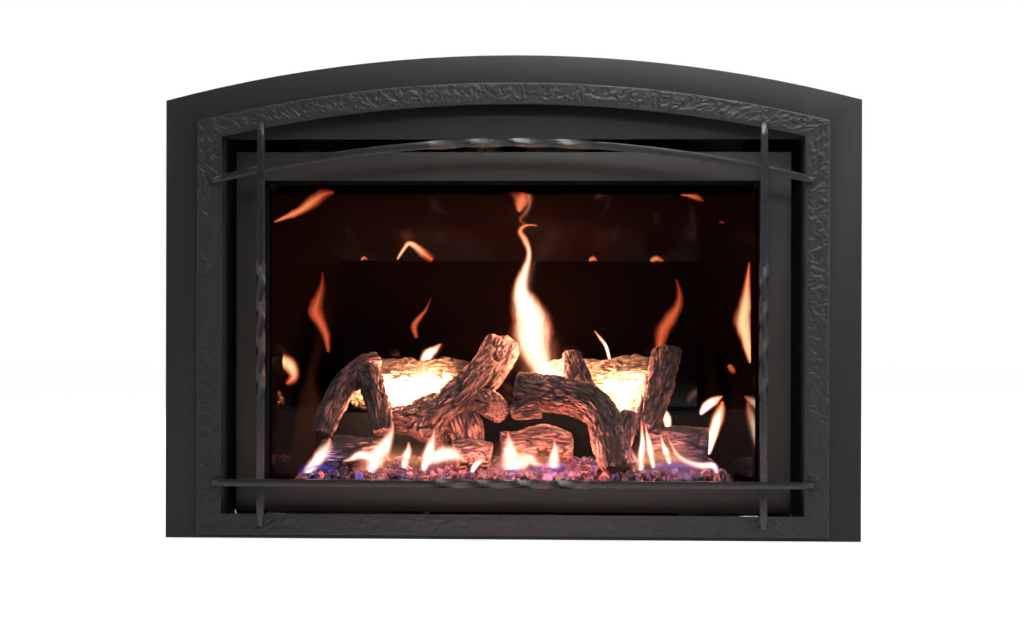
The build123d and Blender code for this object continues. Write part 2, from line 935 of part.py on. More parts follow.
with BuildPart() as ceiling_liner:
    with BuildSketch(Plane.XY.offset(ceiling_back_height - 20)):
        tapered_plan(
            liner_half(ceiling_front) + liner_thickness,
            liner_half(liner_back),
            ceiling_front,
            liner_back + liner_thickness,
        )
    extrude(amount=firebox_top - ceiling_back_height)
    ceiling_cut(Mode.INTERSECT)
    with BuildSketch(Plane.YZ):
        with BuildLine():
            Polyline(
                (ceiling_front - 5, ceiling_height(ceiling_front - 5) + liner_thickness),
                (firebox_back, ceiling_height(firebox_back) + liner_thickness),
                (firebox_back, firebox_top + 50),
                (ceiling_front - 5, firebox_top + 50),
                close=True,
            )
        make_face()
    extrude(amount=casing_width, both=True, mode=Mode.SUBTRACT)
save(ceiling_liner.part, "ceiling_liner")

# ---- Vents ----

with BuildPart() as vent_plate:
    with BuildSketch(Plane.XY.offset(casing_height)):
        with Locations((0, collar_depth)):
            plate_width = collar_spacing + 2 * (collar_radius + vent_plate_margin)
            RectangleRounded(plate_width, 2 * (collar_radius + vent_plate_margin), vent_plate_corner)
        with Locations(*collar_spots):
            Circle(collar_radius + slip_clearance, mode=Mode.SUBTRACT)
    extrude(amount=firebox_sheet)
save(vent_plate.part, "vent_plate")

with BuildPart() as vent_collars:
    vent_plate_top = casing_height + firebox_sheet
    for spot, foot in zip(collar_spots, (firebox_top + firebox_sheet, duct_top)):
        with BuildSketch(Plane.XY.offset(foot)):
            with Locations(spot):
                Circle(collar_radius)
        extrude(amount=collar_top - foot)
    with BuildSketch(Plane.XY.offset(vent_plate_top)):
        with Locations(*collar_spots):
            Circle(collar_radius + collar_flange)
    extrude(amount=collar_wall)
    with BuildSketch(Plane.XY.offset(firebox_top)):
        with Locations(*collar_spots):
            Circle(collar_radius - collar_wall)
    extrude(amount=collar_top - firebox_top, mode=Mode.SUBTRACT)
save(vent_collars.part, "vent_collars")

with BuildPart() as intake_duct:
    duct_front = collar_depth - collar_radius - duct_front_room
    duct_back = firebox_back + duct_depth
    for wall, mode in ((0, Mode.ADD), (duct_sheet, Mode.SUBTRACT)):
        with BuildSketch(side_plane(duct_x - duct_width / 2 + wall)):
            with BuildLine():
                Polyline(
                    (duct_front + wall, firebox_top + firebox_sheet + wall),
                    (firebox_back + wall, firebox_top + firebox_sheet + wall),
                    (firebox_back + wall, duct_bottom + wall),
                    (duct_back - wall, duct_bottom + wall),
                    (duct_back - wall, duct_top - wall),
                    (duct_front + wall, duct_top - wall),
                    close=True,
                )
            make_face()
        extrude(amount=duct_width - 2 * wall, mode=mode)
    with BuildSketch(Plane.XY.offset(duct_top - 2 * duct_sheet)):
        with Locations(collar_spots[1]):
            Circle(collar_radius - collar_wall)
    extrude(amount=3 * duct_sheet, mode=Mode.SUBTRACT)
    air_port(firebox_back + duct_sheet, duct_sheet)
save(intake_duct.part, "intake_duct")

# ---- Burner deck: a pressed tray with a raised shelf for the rear logs ----


def deck_plan(front, back, inset):
    """Plan of a stretch of the deck between two depths."""
    tapered_plan(
        liner_half(front) - deck_clearance - inset,
        liner_half(back) - deck_clearance - inset,
        front,
        back,
    )


with BuildPart() as deck_space:
    with BuildSketch(Plane.XY.offset(deck_floor)):
        deck_plan(deck_front, shelf_back, 0)
    extrude(amount=deck_height - deck_floor)
    with BuildSketch(Plane.XY.offset(deck_height)):
        deck_plan(deck_back, shelf_back, 0)
    extrude(amount=shelf_height - deck_height)

with BuildPart() as burner_deck:
    add(deck_space.part)
    wall = firebox_sheet
    with BuildSketch(Plane.XY.offset(deck_floor)):
        deck_plan(deck_front + wall, shelf_back - wall, wall)
    extrude(amount=deck_height - deck_floor - wall, mode=Mode.SUBTRACT)
    with BuildSketch(Plane.XY.offset(deck_floor)):
        deck_plan(deck_back + wall, shelf_back - wall, wall)
    extrude(amount=shelf_height - deck_floor - wall, mode=Mode.SUBTRACT)
    with BuildSketch(Plane.XY.offset(deck_height)):
        with Locations((0, burner_depth)):
            with GridLocations(port_pitch, port_row_gap, port_count, 2):
                Rectangle(port_pitch - port_bridge, port_width)
        with Locations((pilot_x, pilot_y)):
            Circle(pilot_tube_radius + slip_clearance)
    extrude(amount=-wall, mode=Mode.SUBTRACT)
save(burner_deck.part, "burner_deck")

with BuildPart() as burner_tube:
    with BuildSketch(side_plane(-burner_length / 2)):
        with Locations((burner_depth, burner_height)):
            Circle(burner_radius)
    extrude(amount=burner_length)
    with BuildSketch(Plane.XY.offset(mixer_bottom)):
        with Locations((mixer_offset, burner_depth)):
            Circle(mixer_radius)
    extrude(amount=burner_height - mixer_bottom)
    with BuildSketch(side_plane(burner_wall - burner_length / 2)):
        with Locations((burner_depth, burner_height)):
            Circle(burner_radius - burner_wall)
    extrude(amount=burner_length - 2 * burner_wall, mode=Mode.SUBTRACT)
    with BuildSketch(Plane.XY.offset(mixer_bottom)):
        with Locations((mixer_offset, burner_depth)):
            Circle(mixer_radius - burner_wall)
    extrude(amount=burner_height - mixer_bottom, mode=Mode.SUBTRACT)
    with BuildSketch(front_plane(burner_depth + burner_radius)):
        with Locations((mixer_offset, shutter_bottom + shutter_height / 2)):
            Rectangle(mixer_radius, shutter_height - 2 * shutter_port_margin)
    extrude(amount=2 * burner_radius, mode=Mode.SUBTRACT)
save(burner_tube.part, "burner_tube")

# ---- Ceramic logs ----


def log_section(centre, heading, radius, turn, sides=10):
    """Bark-ridged ring across a limb, as a polygon with uneven corners."""
    upright = Vector(0, 0, 1) if abs(heading.Z) < 0.8 * heading.length else Vector(0, 1, 0)
    plane = Plane(origin=centre, x_dir=upright.cross(heading), z_dir=heading)
    ring = []
    for i in range(sides):
        a = 2 * pi * i / sides
        ridge = radius * (1 + 0.09 * cos(3 * a + turn) + 0.05 * sin(4 * a - 2 * turn))
        ring.append((ridge * cos(a), ridge * sin(a)))
    with BuildSketch(plane) as section:
        with BuildLine():
            Polyline(*ring, close=True)
        make_face()
    return section.sketch


def limb(*stations):
    """Limb of a log through stations of place and radius in log units, with chamfered ends."""
    places = [Vector(*station[:3]) * log_unit for station in stations]
    radii = [station[3] * log_unit for station in stations]
    sections = []
    for i, (place, radius) in enumerate(zip(places, radii)):
        heading = places[min(i + 1, len(places) - 1)] - places[max(i - 1, 0)]
        turn = 0.9 * i + stations[i][0] / 40
        if i in (0, len(places) - 1):
            inward = heading.normalized() * (radius * (0.25 if i == 0 else -0.25))
            rings = [(place, 0.82), (place + inward, 1)]
            rings = rings if i == 0 else rings[::-1]
        else:
            rings = [(place, 1)]
        sections += [log_section(at, heading, radius * share, turn) for at, share in rings]
    loft(sections, ruled=True)


def seat(*neighbours):
    """Trim a log to the notches where it lies on the deck and on other logs."""
    add(deck_space.part, mode=Mode.SUBTRACT)
    for neighbour in neighbours:
        add(neighbour.part, mode=Mode.SUBTRACT)


with BuildPart() as rear_left_log:
    limb((-286, 226, 236, 44), (-220, 222, 238, 47), (-140, 220, 240, 46), (-58, 222, 236, 41))
    seat()
save(rear_left_log.part, "rear_left_log")

with BuildPart() as rear_right_log:
    limb((38, 232, 236, 42), (110, 230, 240, 46), (180, 230, 243, 47), (240, 230, 246, 44))
    seat()
save(rear_right_log.part, "rear_right_log")

with BuildPart() as small_logs:
    limb((-338, 78, 126, 24), (-280, 72, 132, 28), (-216, 70, 132, 25))
    limb((-96, 74, 124, 28), (-66, 78, 130, 29), (-38, 78, 126, 24))
    limb((-20, 120, 130, 30), (40, 116, 136, 33), (96, 120, 134, 28))
    limb((214, 104, 138, 34), (268, 100, 144, 37), (322, 100, 142, 33))
    seat()
save(small_logs.part, "small_logs")

with BuildPart() as centre_log:
    limb(
        (-150, 112, 150, 36),
        (-128, 130, 190, 40),
        (-84, 160, 244, 38),
        (-48, 186, 284, 34),
        (-16, 204, 316, 25),
    )
    limb((-214, 118, 168, 22), (-180, 128, 206, 28), (-120, 140, 224, 30))
    limb((-74, 112, 142, 26), (-86, 122, 176, 29), (-98, 140, 210, 28))
    limb((-28, 74, 204, 20), (-38, 110, 208, 22), (-74, 150, 226, 26))
    seat(rear_left_log, small_logs)
save(centre_log.part, "centre_log")

with BuildPart() as left_fork_log:
    limb(
        (-322, 92, 164, 20),
        (-306, 112, 210, 22),
        (-284, 140, 252, 24),
        (-258, 158, 274, 22),
        (-236, 170, 280, 17),
    )
    limb((-220, 76, 164, 18), (-228, 100, 206, 20), (-246, 134, 248, 22), (-262, 154, 270, 20))
    seat(rear_left_log, small_logs, centre_log)
save(left_fork_log.part, "left_fork_log")

with BuildPart() as right_fork_log:
    limb(
        (172, 52, 108, 30),
        (160, 68, 150, 32),
        (142, 90, 196, 31),
        (110, 100, 220, 29),
        (56, 104, 232, 27),
        (0, 108, 244, 19),
    )
    limb((118, 112, 226, 25), (104, 140, 262, 21), (94, 168, 296, 15))
    limb((40, 92, 214, 20), (14, 88, 206, 18), (-4, 84, 200, 13))
    limb((172, 74, 138, 20), (186, 84, 172, 18), (192, 90, 202, 15))
    seat(small_logs, centre_log, rear_right_log)
save(right_fork_log.part, "right_fork_log")

with BuildPart() as leaning_log:
    limb((216, 96, 168, 24), (232, 124, 208, 26), (246, 156, 250, 27), (262, 196, 300, 24))
    seat(small_logs, rear_right_log, right_fork_log)
save(leaning_log.part, "leaning_log")

all_logs = (
    rear_left_log,
    rear_right_log,
    small_logs,
    centre_log,
    left_fork_log,
    right_fork_log,
    leaning_log,
)

with BuildPart() as ember_bed:
    crest = deck_height + ember_thickness + ember_rise
    with BuildSketch(Plane.YZ):
        with BuildLine():
            Polyline(
                (deck_front + ember_foot[0], deck_height),
                (deck_front + ember_foot[1], deck_height + ember_thickness / 2),
                (deck_front + ember_slope[0], deck_height + ember_thickness),
                (deck_front + ember_slope[1], crest),
                (deck_back - ember_crest_inset, crest),
                (deck_back, crest - ember_rise),
                (deck_back, deck_height),
                close=True,
            )
        make_face()
    extrude(amount=liner_front_half, both=True)
    with BuildSketch(Plane.XY.offset(deck_height)):
        deck_plan(deck_front, deck_back, deck_clearance + ember_side_gap)
    extrude(amount=2 * ember_thickness + ember_rise, mode=Mode.INTERSECT)
    for log in all_logs:
        add(log.part, mode=Mode.SUBTRACT)
    with BuildSketch(Plane.XY.offset(deck_height)):
        with Locations((pilot_x, pilot_y)):
            Rectangle(pilot_plate_width + 2 * pilot_hole_play, pilot_plate_depth + 2 * pilot_hole_play)
    extrude(amount=crest, mode=Mode.SUBTRACT)
save(ember_bed.part, "ember_bed")

with BuildPart() as pilot_assembly:
    with BuildSketch(Plane.XY.offset(deck_height)):
        with Locations((pilot_x, pilot_y)):
            Rectangle(pilot_plate_width, pilot_plate_depth)
    extrude(amount=firebox_sheet)
    plate_top = deck_height + firebox_sheet
    for offset_x, radius, height in (pilot_hood, pilot_spark_rod, pilot_sensor):
        with BuildSketch(Plane.XY.offset(plate_top)):
            with Locations((pilot_x + offset_x, pilot_y)):
                Circle(radius)
        extrude(amount=height)
    with BuildSketch(front_plane(pilot_y)):
        with Locations((pilot_x, plate_top + pilot_hood[2] - pilot_slot_height / 2 - pilot_slot_drop)):
            Rectangle(pilot_slot_width, pilot_slot_height)
    extrude(amount=pilot_hood[1], mode=Mode.SUBTRACT)
save(pilot_assembly.part, "pilot_assembly")

# ---- Gas controls, under the firebox and behind the face band ----

valve_centre = (gas_knob_x + flame_knob_x) / 2
valve_left, valve_right = valve_centre - valve_width / 2, valve_centre + valve_width / 2
panel_back = panel_depth + sheet
valve_base = 2 * sheet
bore_radius = knob_stem_radius + running_clearance
button_bore_radius = button_stem_radius + running_clearance

with BuildPart() as control_panel:
    panel_left, panel_right = valve_left - panel_margin, igniter_x + igniter_margin
    with BuildSketch(front_plane(panel_back)):
        with Locations(((panel_left + panel_right) / 2, (sheet + panel_bottom_height) / 2)):
            Rectangle(panel_right - panel_left, panel_bottom_height - sheet)
        with Locations((gas_knob_x, control_height), (flame_knob_x, control_height)):
            Circle(bore_radius, mode=Mode.SUBTRACT)
        with Locations((igniter_x, control_height)):
            Circle(button_bore_radius, mode=Mode.SUBTRACT)
    extrude(amount=sheet)
    with BuildSketch(Plane.XY.offset(sheet)):
        with Locations((valve_centre, panel_back + valve_depth / 2)):
            Rectangle(valve_width + 2 * tray_margin, valve_depth)
    extrude(amount=sheet)
save(control_panel.part, "control_panel")

with BuildPart() as gas_valve:
    with BuildSketch(Plane.XY.offset(valve_base)):
        with Locations((valve_centre, panel_back + valve_depth / 2)):
            RectangleRounded(valve_width, valve_depth, valve_corner)
    extrude(amount=valve_height)
    top_edges = gas_valve.faces().sort_by(Axis.Z)[-1].edges()
    chamfer(top_edges, valve_chamfer)
    with BuildSketch(Plane.XY.offset(valve_base + valve_height)):
        with Locations((valve_centre, panel_back + valve_depth * regulator_place)):
            Circle(regulator_radius)
    extrude(amount=regulator_height)
    with BuildSketch(side_plane(valve_left - boss_length)):
        with Locations((inlet_y, control_height)):
            Circle(pipe_radius + boss_wall)
    extrude(amount=boss_length + boss_root)
    with BuildSketch(side_plane(valve_right - boss_root)):
        with Locations((burner_depth, control_height)):
            Circle(tube_radius + boss_wall + 1)
    extrude(amount=boss_length + boss_root)
    with BuildSketch(front_plane(panel_back)):
        with Locations((gas_knob_x, control_height), (flame_knob_x, control_height)):
            Circle(bore_radius)
    extrude(amount=-(knob_stem_length + socket_margin), mode=Mode.SUBTRACT)
save(gas_valve.part, "gas_valve")

with BuildPart() as gas_inlet_pipe:
    pipe_start = valve_left - boss_length
    for radius, length in ((pipe_radius, pipe_length), (pipe_radius + coupling_wall, coupling_length)):
        with BuildSketch(side_plane(pipe_start - pipe_length)):
            with Locations((inlet_y, control_height)):
                Circle(radius)
        extrude(amount=length)
    with BuildSketch(side_plane(pipe_start - pipe_length)):
        with Locations((inlet_y, control_height)):
            Circle(gas_thread_radius)
    extrude(amount=gas_thread_length, mode=Mode.SUBTRACT)
    with BuildSketch(side_plane(pipe_start - pipe_length)):
        with Locations((inlet_y, control_height)):
            Circle(pipe_radius - pipe_wall)
    extrude(amount=pipe_length, mode=Mode.SUBTRACT)
save(gas_inlet_pipe.part, "gas_inlet_pipe")

with BuildPart() as orifice_holder:
    with BuildSketch(Plane.XY.offset(mixer_bottom - holder_height)):
        with Locations((mixer_offset, burner_depth)):
            Rectangle(holder_width, holder_width)
    extrude(amount=holder_height)
    with BuildSketch(Plane.XY.offset(sheet)):
        with Locations((mixer_offset, burner_depth)):
            Rectangle(holder_width - 2 * holder_foot_inset, holder_width - 2 * holder_foot_inset)
    extrude(amount=mixer_bottom - holder_height - sheet)
    with Locations((mixer_offset, burner_depth, mixer_bottom)):
        seat_radius = mixer_radius - burner_wall - orifice_seat
        CounterSinkHole(orifice_radius, seat_radius, depth=orifice_depth, counter_sink_angle=90)
save(orifice_holder.part, "orifice_holder")

with BuildPart() as gas_tubes:
    manifold_start = valve_right + boss_length
    manifold_end = mixer_offset - holder_width / 2
    with BuildSketch(side_plane(manifold_start)):
        with Locations((burner_depth, control_height)):
            Circle(tube_radius)
    extrude(amount=manifold_end - manifold_start)
    for nut_start in (manifold_start, manifold_end - nut_length):
        with BuildSketch(side_plane(nut_start)):
            with Locations((burner_depth, control_height)):
                RegularPolygon(tube_radius + tube_nut_wall, 6, major_radius=False)
        extrude(amount=nut_length)
    pilot_route = [
        (flame_knob_x, panel_back + valve_depth, control_height),
        (flame_knob_x, pilot_y - pilot_tube_setback, control_height),
        (pilot_x, pilot_y - pilot_tube_setback, control_height),
        (pilot_x, pilot_y, control_height),
        (pilot_x, pilot_y, deck_height),
    ]
    with BuildLine() as pilot_line:
        FilletPolyline(*pilot_route, radius=pilot_tube_bend)
    with BuildSketch(Plane(origin=pilot_route[0], z_dir=(0, 1, 0))):
        Circle(pilot_tube_radius)
    sweep(path=pilot_line.line)
save(gas_tubes.part, "gas_tubes")

with BuildPart() as igniter_body:
    with BuildSketch(front_plane(panel_back)):
        with Locations((igniter_x, control_height)):
            Circle(igniter_body_radius)
            Circle(button_bore_radius, mode=Mode.SUBTRACT)
    extrude(amount=-igniter_body_length)
    with BuildSketch(front_plane(panel_back + igniter_body_length)):
        with Locations((igniter_x, control_height)):
            Circle(igniter_body_radius)
    extrude(amount=-igniter_cap)
save(igniter_body.part, "igniter_body")

with BuildPart() as igniter_button:
    cap_back = panel_depth - button_travel - 1
    with BuildSketch(front_plane(cap_back)):
        with Locations((igniter_x, control_height)):
            Circle(button_radius)
    extrude(amount=button_cap_depth)
    fillet(igniter_button.faces().sort_by(Axis.Y)[0].edges(), button_edge)
    with BuildSketch(front_plane(cap_back)):
        with Locations((igniter_x, control_height)):
            Circle(button_stem_radius)
    extrude(amount=-(igniter_body_length - button_travel))
save(igniter_button.part, "igniter_button")


def control_knob(x):
    """Round knob with a grip across it, and the stem that it turns."""
    skirt_back = panel_depth - knob_gap
    with BuildSketch(front_plane(skirt_back)) as skirt:
        with Locations((x, control_height)):
            Circle(knob_radius)
    extrude(skirt.sketch, amount=knob_depth / 2, taper=knob_taper)
    with BuildSketch(front_plane(skirt_back)) as grip:
        with Locations((x, control_height)):
            SlotOverall(2 * knob_radius - knob_grip_inset, knob_radius / 2, rotation=90)
    extrude(grip.sketch, amount=knob_depth)
    with BuildSketch(front_plane(skirt_back)) as stem:
        with Locations((x, control_height)):
            Circle(knob_stem_radius)
    extrude(stem.sketch, amount=-(knob_gap + sheet + knob_stem_length))


with BuildPart() as gas_knob:
    control_knob(gas_knob_x)
save(gas_knob.part, "gas_knob")

with BuildPart() as flame_knob:
    control_knob(flame_knob_x)
save(flame_knob.part, "flame_knob")

with BuildPart() as fan_knob:
    control_knob(fan_knob_x)
save(fan_knob.part, "fan_knob")

with BuildPart() as air_shutter:
    sleeve_bore = mixer_radius + running_clearance
    sleeve_radius = sleeve_bore + shutter_wall
    with BuildSketch(Plane.XY.offset(shutter_bottom)):
        with Locations((mixer_offset, burner_depth)):
            Circle(sleeve_radius)
        with Locations((mixer_offset, (burner_depth + lever_front) / 2)):
            Rectangle(lever_width, burner_depth - lever_front)
    extrude(amount=lever_thickness)
    with BuildSketch(Plane.XY.offset(shutter_bottom)):
        with Locations((mixer_offset, burner_depth)):
            Circle(sleeve_radius)
    extrude(amount=shutter_height)
    with BuildSketch(front_plane(lever_front + lever_pad[2] / 2)):
        with Locations((mixer_offset, shutter_bottom + lever_thickness / 2)):
            RectangleRounded(lever_pad[0], lever_pad[1], 2)
    extrude(amount=lever_pad[2])
    with BuildSketch(Plane.XY.offset(shutter_bottom)):
        with Locations((mixer_offset, burner_depth)):
            Circle(sleeve_bore)
    extrude(amount=shutter_height, mode=Mode.SUBTRACT)
    with BuildSketch(front_plane(burner_depth + burner_radius + 4)):
        with Locations((mixer_offset, shutter_bottom + shutter_height / 2)):
            Rectangle(mixer_radius, shutter_height - 2 * shutter_port_margin)
    extrude(amount=burner_radius + 4, mode=Mode.SUBTRACT)
save(air_shutter.part, "air_shutter")

with BuildPart() as junction_box:
    with BuildSketch(Plane.XY.offset(sheet)):
        with Locations((fan_knob_x, panel_depth + box_depth / 2)):
            RectangleRounded(box_width, box_depth, 3)
    extrude(amount=box_height)
    with BuildSketch(Plane.XY.offset(2 * sheet)):
        with Locations((fan_knob_x, panel_depth + box_depth / 2)):
            Rectangle(box_width - 2 * sheet, box_depth - 2 * sheet)
    extrude(amount=box_height - 2 * sheet, mode=Mode.SUBTRACT)
    with BuildSketch(front_plane(panel_back)):
        with Locations((fan_knob_x, control_height)):
            Circle(bore_radius)
    extrude(amount=2 * sheet, mode=Mode.SUBTRACT)
    with BuildSketch(side_plane(fan_knob_x + box_width / 2 - 2 * sheet)):
        with Locations((panel_depth + box_depth / 2, control_height)):
            Circle(gland_radius - 3)
    extrude(amount=3 * sheet, mode=Mode.SUBTRACT)
save(junction_box.part, "junction_box")

with BuildPart() as cord_gland:
    side_run_x = (casing_width - casing_back_width) / 2
    side_run_y = casing_back - casing_bend
    side_length = hypot(side_run_x, side_run_y)
    gland_x = casing_width / 2 - (gland_y - casing_bend) * side_run_x / side_run_y
    gland_axis = (side_run_y / side_length, side_run_x / side_length, 0)
    gland_plane = Plane(origin=(gland_x, gland_y, control_height), z_dir=gland_axis)
    with BuildSketch(gland_plane):
        Circle(gland_radius + gland_flange)
    extrude(amount=gland_head)
    with BuildSketch(gland_plane):
        Circle(gland_radius - gland_play)
    extrude(amount=-gland_reach)
    with BuildSketch(gland_plane):
        Circle(gland_bore)
    extrude(amount=2 * gland_reach, both=True, mode=Mode.SUBTRACT)
save(cord_gland.part, "cord_gland")

# ---- Blower behind the firebox ----

wheel_gap = housing_gap + housing_sheet
motor_ends = (motor_centre - motor_length / 2, motor_centre + motor_length / 2)
wheel_starts = (
    motor_ends[0] - wheel_gap - 2 - wheel_length,
    motor_ends[1] + wheel_gap + 2,
)

with BuildPart() as blower_motor:
    with BuildSketch(side_plane(motor_ends[0])):
        with Locations((blower_axis_y, blower_axis_z)):
            Circle(motor_radius)
    extrude(amount=motor_length)
    chamfer(blower_motor.edges().filter_by(GeomType.CIRCLE), motor_edge)
    with BuildSketch(Plane.XY.offset(sheet)):
        with Locations((motor_centre, blower_axis_y)):
            Rectangle(motor_length - 2 * motor_foot_inset, motor_foot_depth)
    extrude(amount=blower_axis_z - sheet)
    with BuildSketch(side_plane(motor_ends[0])):
        with Locations((blower_axis_y, blower_axis_z)):
            Circle(shaft_radius + running_clearance)
    extrude(amount=motor_length, mode=Mode.SUBTRACT)
save(blower_motor.part, "blower_motor")

with BuildPart() as blower_shaft:
    with BuildSketch(side_plane(wheel_starts[0] + 4)):
        with Locations((blower_axis_y, blower_axis_z)):
            Circle(shaft_radius)
    extrude(amount=wheel_starts[1] + wheel_length - wheel_starts[0] - 8)
save(blower_shaft.part, "blower_shaft")

with BuildPart() as blower_wheels:
    far_side = wheel_length - hub_thickness
    for start, hub_at, ring_at in ((wheel_starts[0], far_side, 0), (wheel_starts[1], 0, far_side)):
        for disc_at, hole in ((hub_at, shaft_radius), (ring_at, wheel_radius - blade_depth + 2)):
            with BuildSketch(side_plane(start + disc_at)):
                with Locations((blower_axis_y, blower_axis_z)):
                    Circle(wheel_radius)
                    Circle(hole, mode=Mode.SUBTRACT)
            extrude(amount=hub_thickness)
        with BuildSketch(side_plane(start)):
            with Locations((blower_axis_y, blower_axis_z)):
                with PolarLocations(wheel_radius - blade_depth / 2 - 0.5, wheel_blades):
                    Rectangle(blade_depth, blade_thickness, rotation=blade_angle)
        extrude(amount=wheel_length)
save(blower_wheels.part, "blower_wheels")

with BuildPart() as blower_housings:
    outlet_width = housing_radius - 4
    outlet_y = blower_axis_y - housing_radius + outlet_width / 2
    housing_length = wheel_length + 2 * wheel_gap
    for start in wheel_starts:
        with BuildSketch(side_plane(start - wheel_gap)):
            with Locations((blower_axis_y, blower_axis_z)):
                Circle(housing_radius)
            with Locations((outlet_y, blower_axis_z + outlet_height / 2)):
                Rectangle(outlet_width, outlet_height)
            with Locations((blower_axis_y, (sheet + foot_height) / 2)):
                Rectangle(foot_width, foot_height - sheet)
        extrude(amount=housing_length)
        with BuildSketch(side_plane(start - wheel_gap + housing_sheet)):
            with Locations((blower_axis_y, blower_axis_z)):
                Circle(housing_radius - housing_sheet)
            with Locations((outlet_y, blower_axis_z + outlet_height / 2)):
                Rectangle(outlet_width - 2 * housing_sheet, outlet_height)
        extrude(amount=housing_length - 2 * housing_sheet, mode=Mode.SUBTRACT)
        with BuildSketch(side_plane(start - wheel_gap)):
            with Locations((blower_axis_y, blower_axis_z)):
                Circle(inlet_radius)
        extrude(amount=housing_length, mode=Mode.SUBTRACT)
save(blower_housings.part, "blower_housings")
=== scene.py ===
import json
import math

import bmesh
import bpy
import numpy as np
from mathutils import Matrix, Vector, noise


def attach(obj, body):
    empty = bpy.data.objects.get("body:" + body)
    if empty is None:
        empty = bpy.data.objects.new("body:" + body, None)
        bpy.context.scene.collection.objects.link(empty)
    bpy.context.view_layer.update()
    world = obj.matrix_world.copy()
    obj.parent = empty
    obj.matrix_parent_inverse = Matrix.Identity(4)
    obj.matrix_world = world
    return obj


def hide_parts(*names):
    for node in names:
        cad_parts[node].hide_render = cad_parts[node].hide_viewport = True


# Gas fireplace insert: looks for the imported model. Metres, X right, Y into the wall, Z up.

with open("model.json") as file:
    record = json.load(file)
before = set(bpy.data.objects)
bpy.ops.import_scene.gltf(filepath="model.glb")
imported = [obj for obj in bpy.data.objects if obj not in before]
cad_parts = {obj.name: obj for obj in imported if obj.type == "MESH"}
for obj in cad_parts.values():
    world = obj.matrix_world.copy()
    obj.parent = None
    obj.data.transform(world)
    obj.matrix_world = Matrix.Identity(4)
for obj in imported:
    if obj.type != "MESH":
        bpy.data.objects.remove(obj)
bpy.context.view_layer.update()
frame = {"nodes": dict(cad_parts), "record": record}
nodes = frame["nodes"]
print("frame loaded with", len(nodes), "nodes")


# Objects, meshes, nodes and materials

def linkObject(name, data):
    made = bpy.data.objects.new(name, data)
    bpy.context.scene.collection.objects.link(made)
    return made


def makeMesh(name, verts, faces, attributes=None):
    mesh = bpy.data.meshes.new(name)
    mesh.from_pydata([tuple(v) for v in verts], [], faces)
    for label, values in (attributes or {}).items():
        data = np.array(values, np.float32)
        kind, key = ("FLOAT_VECTOR", "vector") if data.ndim == 2 else ("FLOAT", "value")
        mesh.attributes.new(label, kind, "POINT").data.foreach_set(key, data.ravel())
    mesh.shade_smooth()
    return mesh


def gridFaces(rows, columns, closedRows=False, closedColumns=False, start=0):
    faces = []
    for j in range(rows if closedRows else rows - 1):
        a, b = start + j * columns, start + (j + 1) % rows * columns
        for i in range(columns if closedColumns else columns - 1):
            n = (i + 1) % columns
            faces.append((a + i, a + n, b + n, b + i))
    return faces


def setInputs(tree, node, inputs):  # an input is a value, or the socket that feeds it
    for key, value in inputs.items():
        if isinstance(value, bpy.types.NodeSocket):
            tree.links.new(value, node.inputs[key])
        else:
            node.inputs[key].default_value = value


def addNode(tree, kind, inputs=None, **settings):
    made = tree.nodes.new(kind if "Node" in kind else "ShaderNode" + kind)
    for key, value in settings.items():
        setattr(made, key, value)
    setInputs(tree, made, inputs or {})
    return made


def remap(tree, value, low, high, toLow=0.0, toHigh=1.0):
    return addNode(tree, "MapRange", dict(enumerate((value, low, high, toLow, toHigh)))).outputs[0]


def noiseField(tree, vector, scale, detail=3.0, roughness=0.55):
    values = {"Vector": vector, "Scale": scale, "Detail": detail, "Roughness": roughness}
    return addNode(tree, "TexNoise", values).outputs[0]


def blendColour(tree, share, first, second):
    return addNode(tree, "Mix", {0: share, 6: first, 7: second}, data_type="RGBA").outputs[2]


def calculate(tree, operation, first, second=0.0):
    return addNode(tree, "Math", {0: first, 1: second}, operation=operation).outputs[0]


def calculateVector(tree, operation, first, second):
    return addNode(tree, "VectorMath", {0: first, 1: second}, operation=operation).outputs[0]


def objectPlace(tree):
    return addNode(tree, "TexCoord").outputs["Object"]


def readAttribute(tree, name, output="Fac"):
    return addNode(tree, "Attribute", attribute_name=name).outputs[output]


def seenDirectly(tree):  # 1 for rays from the camera, mirrors and glass
    path = addNode(tree, "LightPath").outputs
    mirrored = calculate(tree, "MAXIMUM", path["Is Camera Ray"], path["Is Glossy Ray"])
    return calculate(tree, "MAXIMUM", mirrored, path["Is Transmission Ray"])


def startMaterial(name):
    material = bpy.data.materials.new(name)
    material.use_nodes = True
    return material, material.node_tree, material.node_tree.nodes["Principled BSDF"]


def socketKind(value):
    if isinstance(value, tuple):
        return "Color" if len(value) == 4 else "Vector"
    kinds = ((bpy.types.Material, "Material"), (int, "Int"), (float, "Float"))
    return next((kind for sort, kind in kinds if isinstance(value, sort)), "Geometry")


def startTree(kind, name, inputs, outputs):
    tree = bpy.data.node_groups.new(name, kind + "NodeTree")
    for label, value in inputs.items():
        made = tree.interface.new_socket(label, in_out="INPUT", socket_type="NodeSocket" + socketKind(value))
        if isinstance(value, (int, float, tuple)):
            made.default_value = value
    for label, socket in outputs.items():
        tree.interface.new_socket(label, in_out="OUTPUT", socket_type="NodeSocket" + socket)
    return tree, tree.nodes.new("NodeGroupInput").outputs, tree.nodes.new("NodeGroupOutput")


# Camera, floor and studio

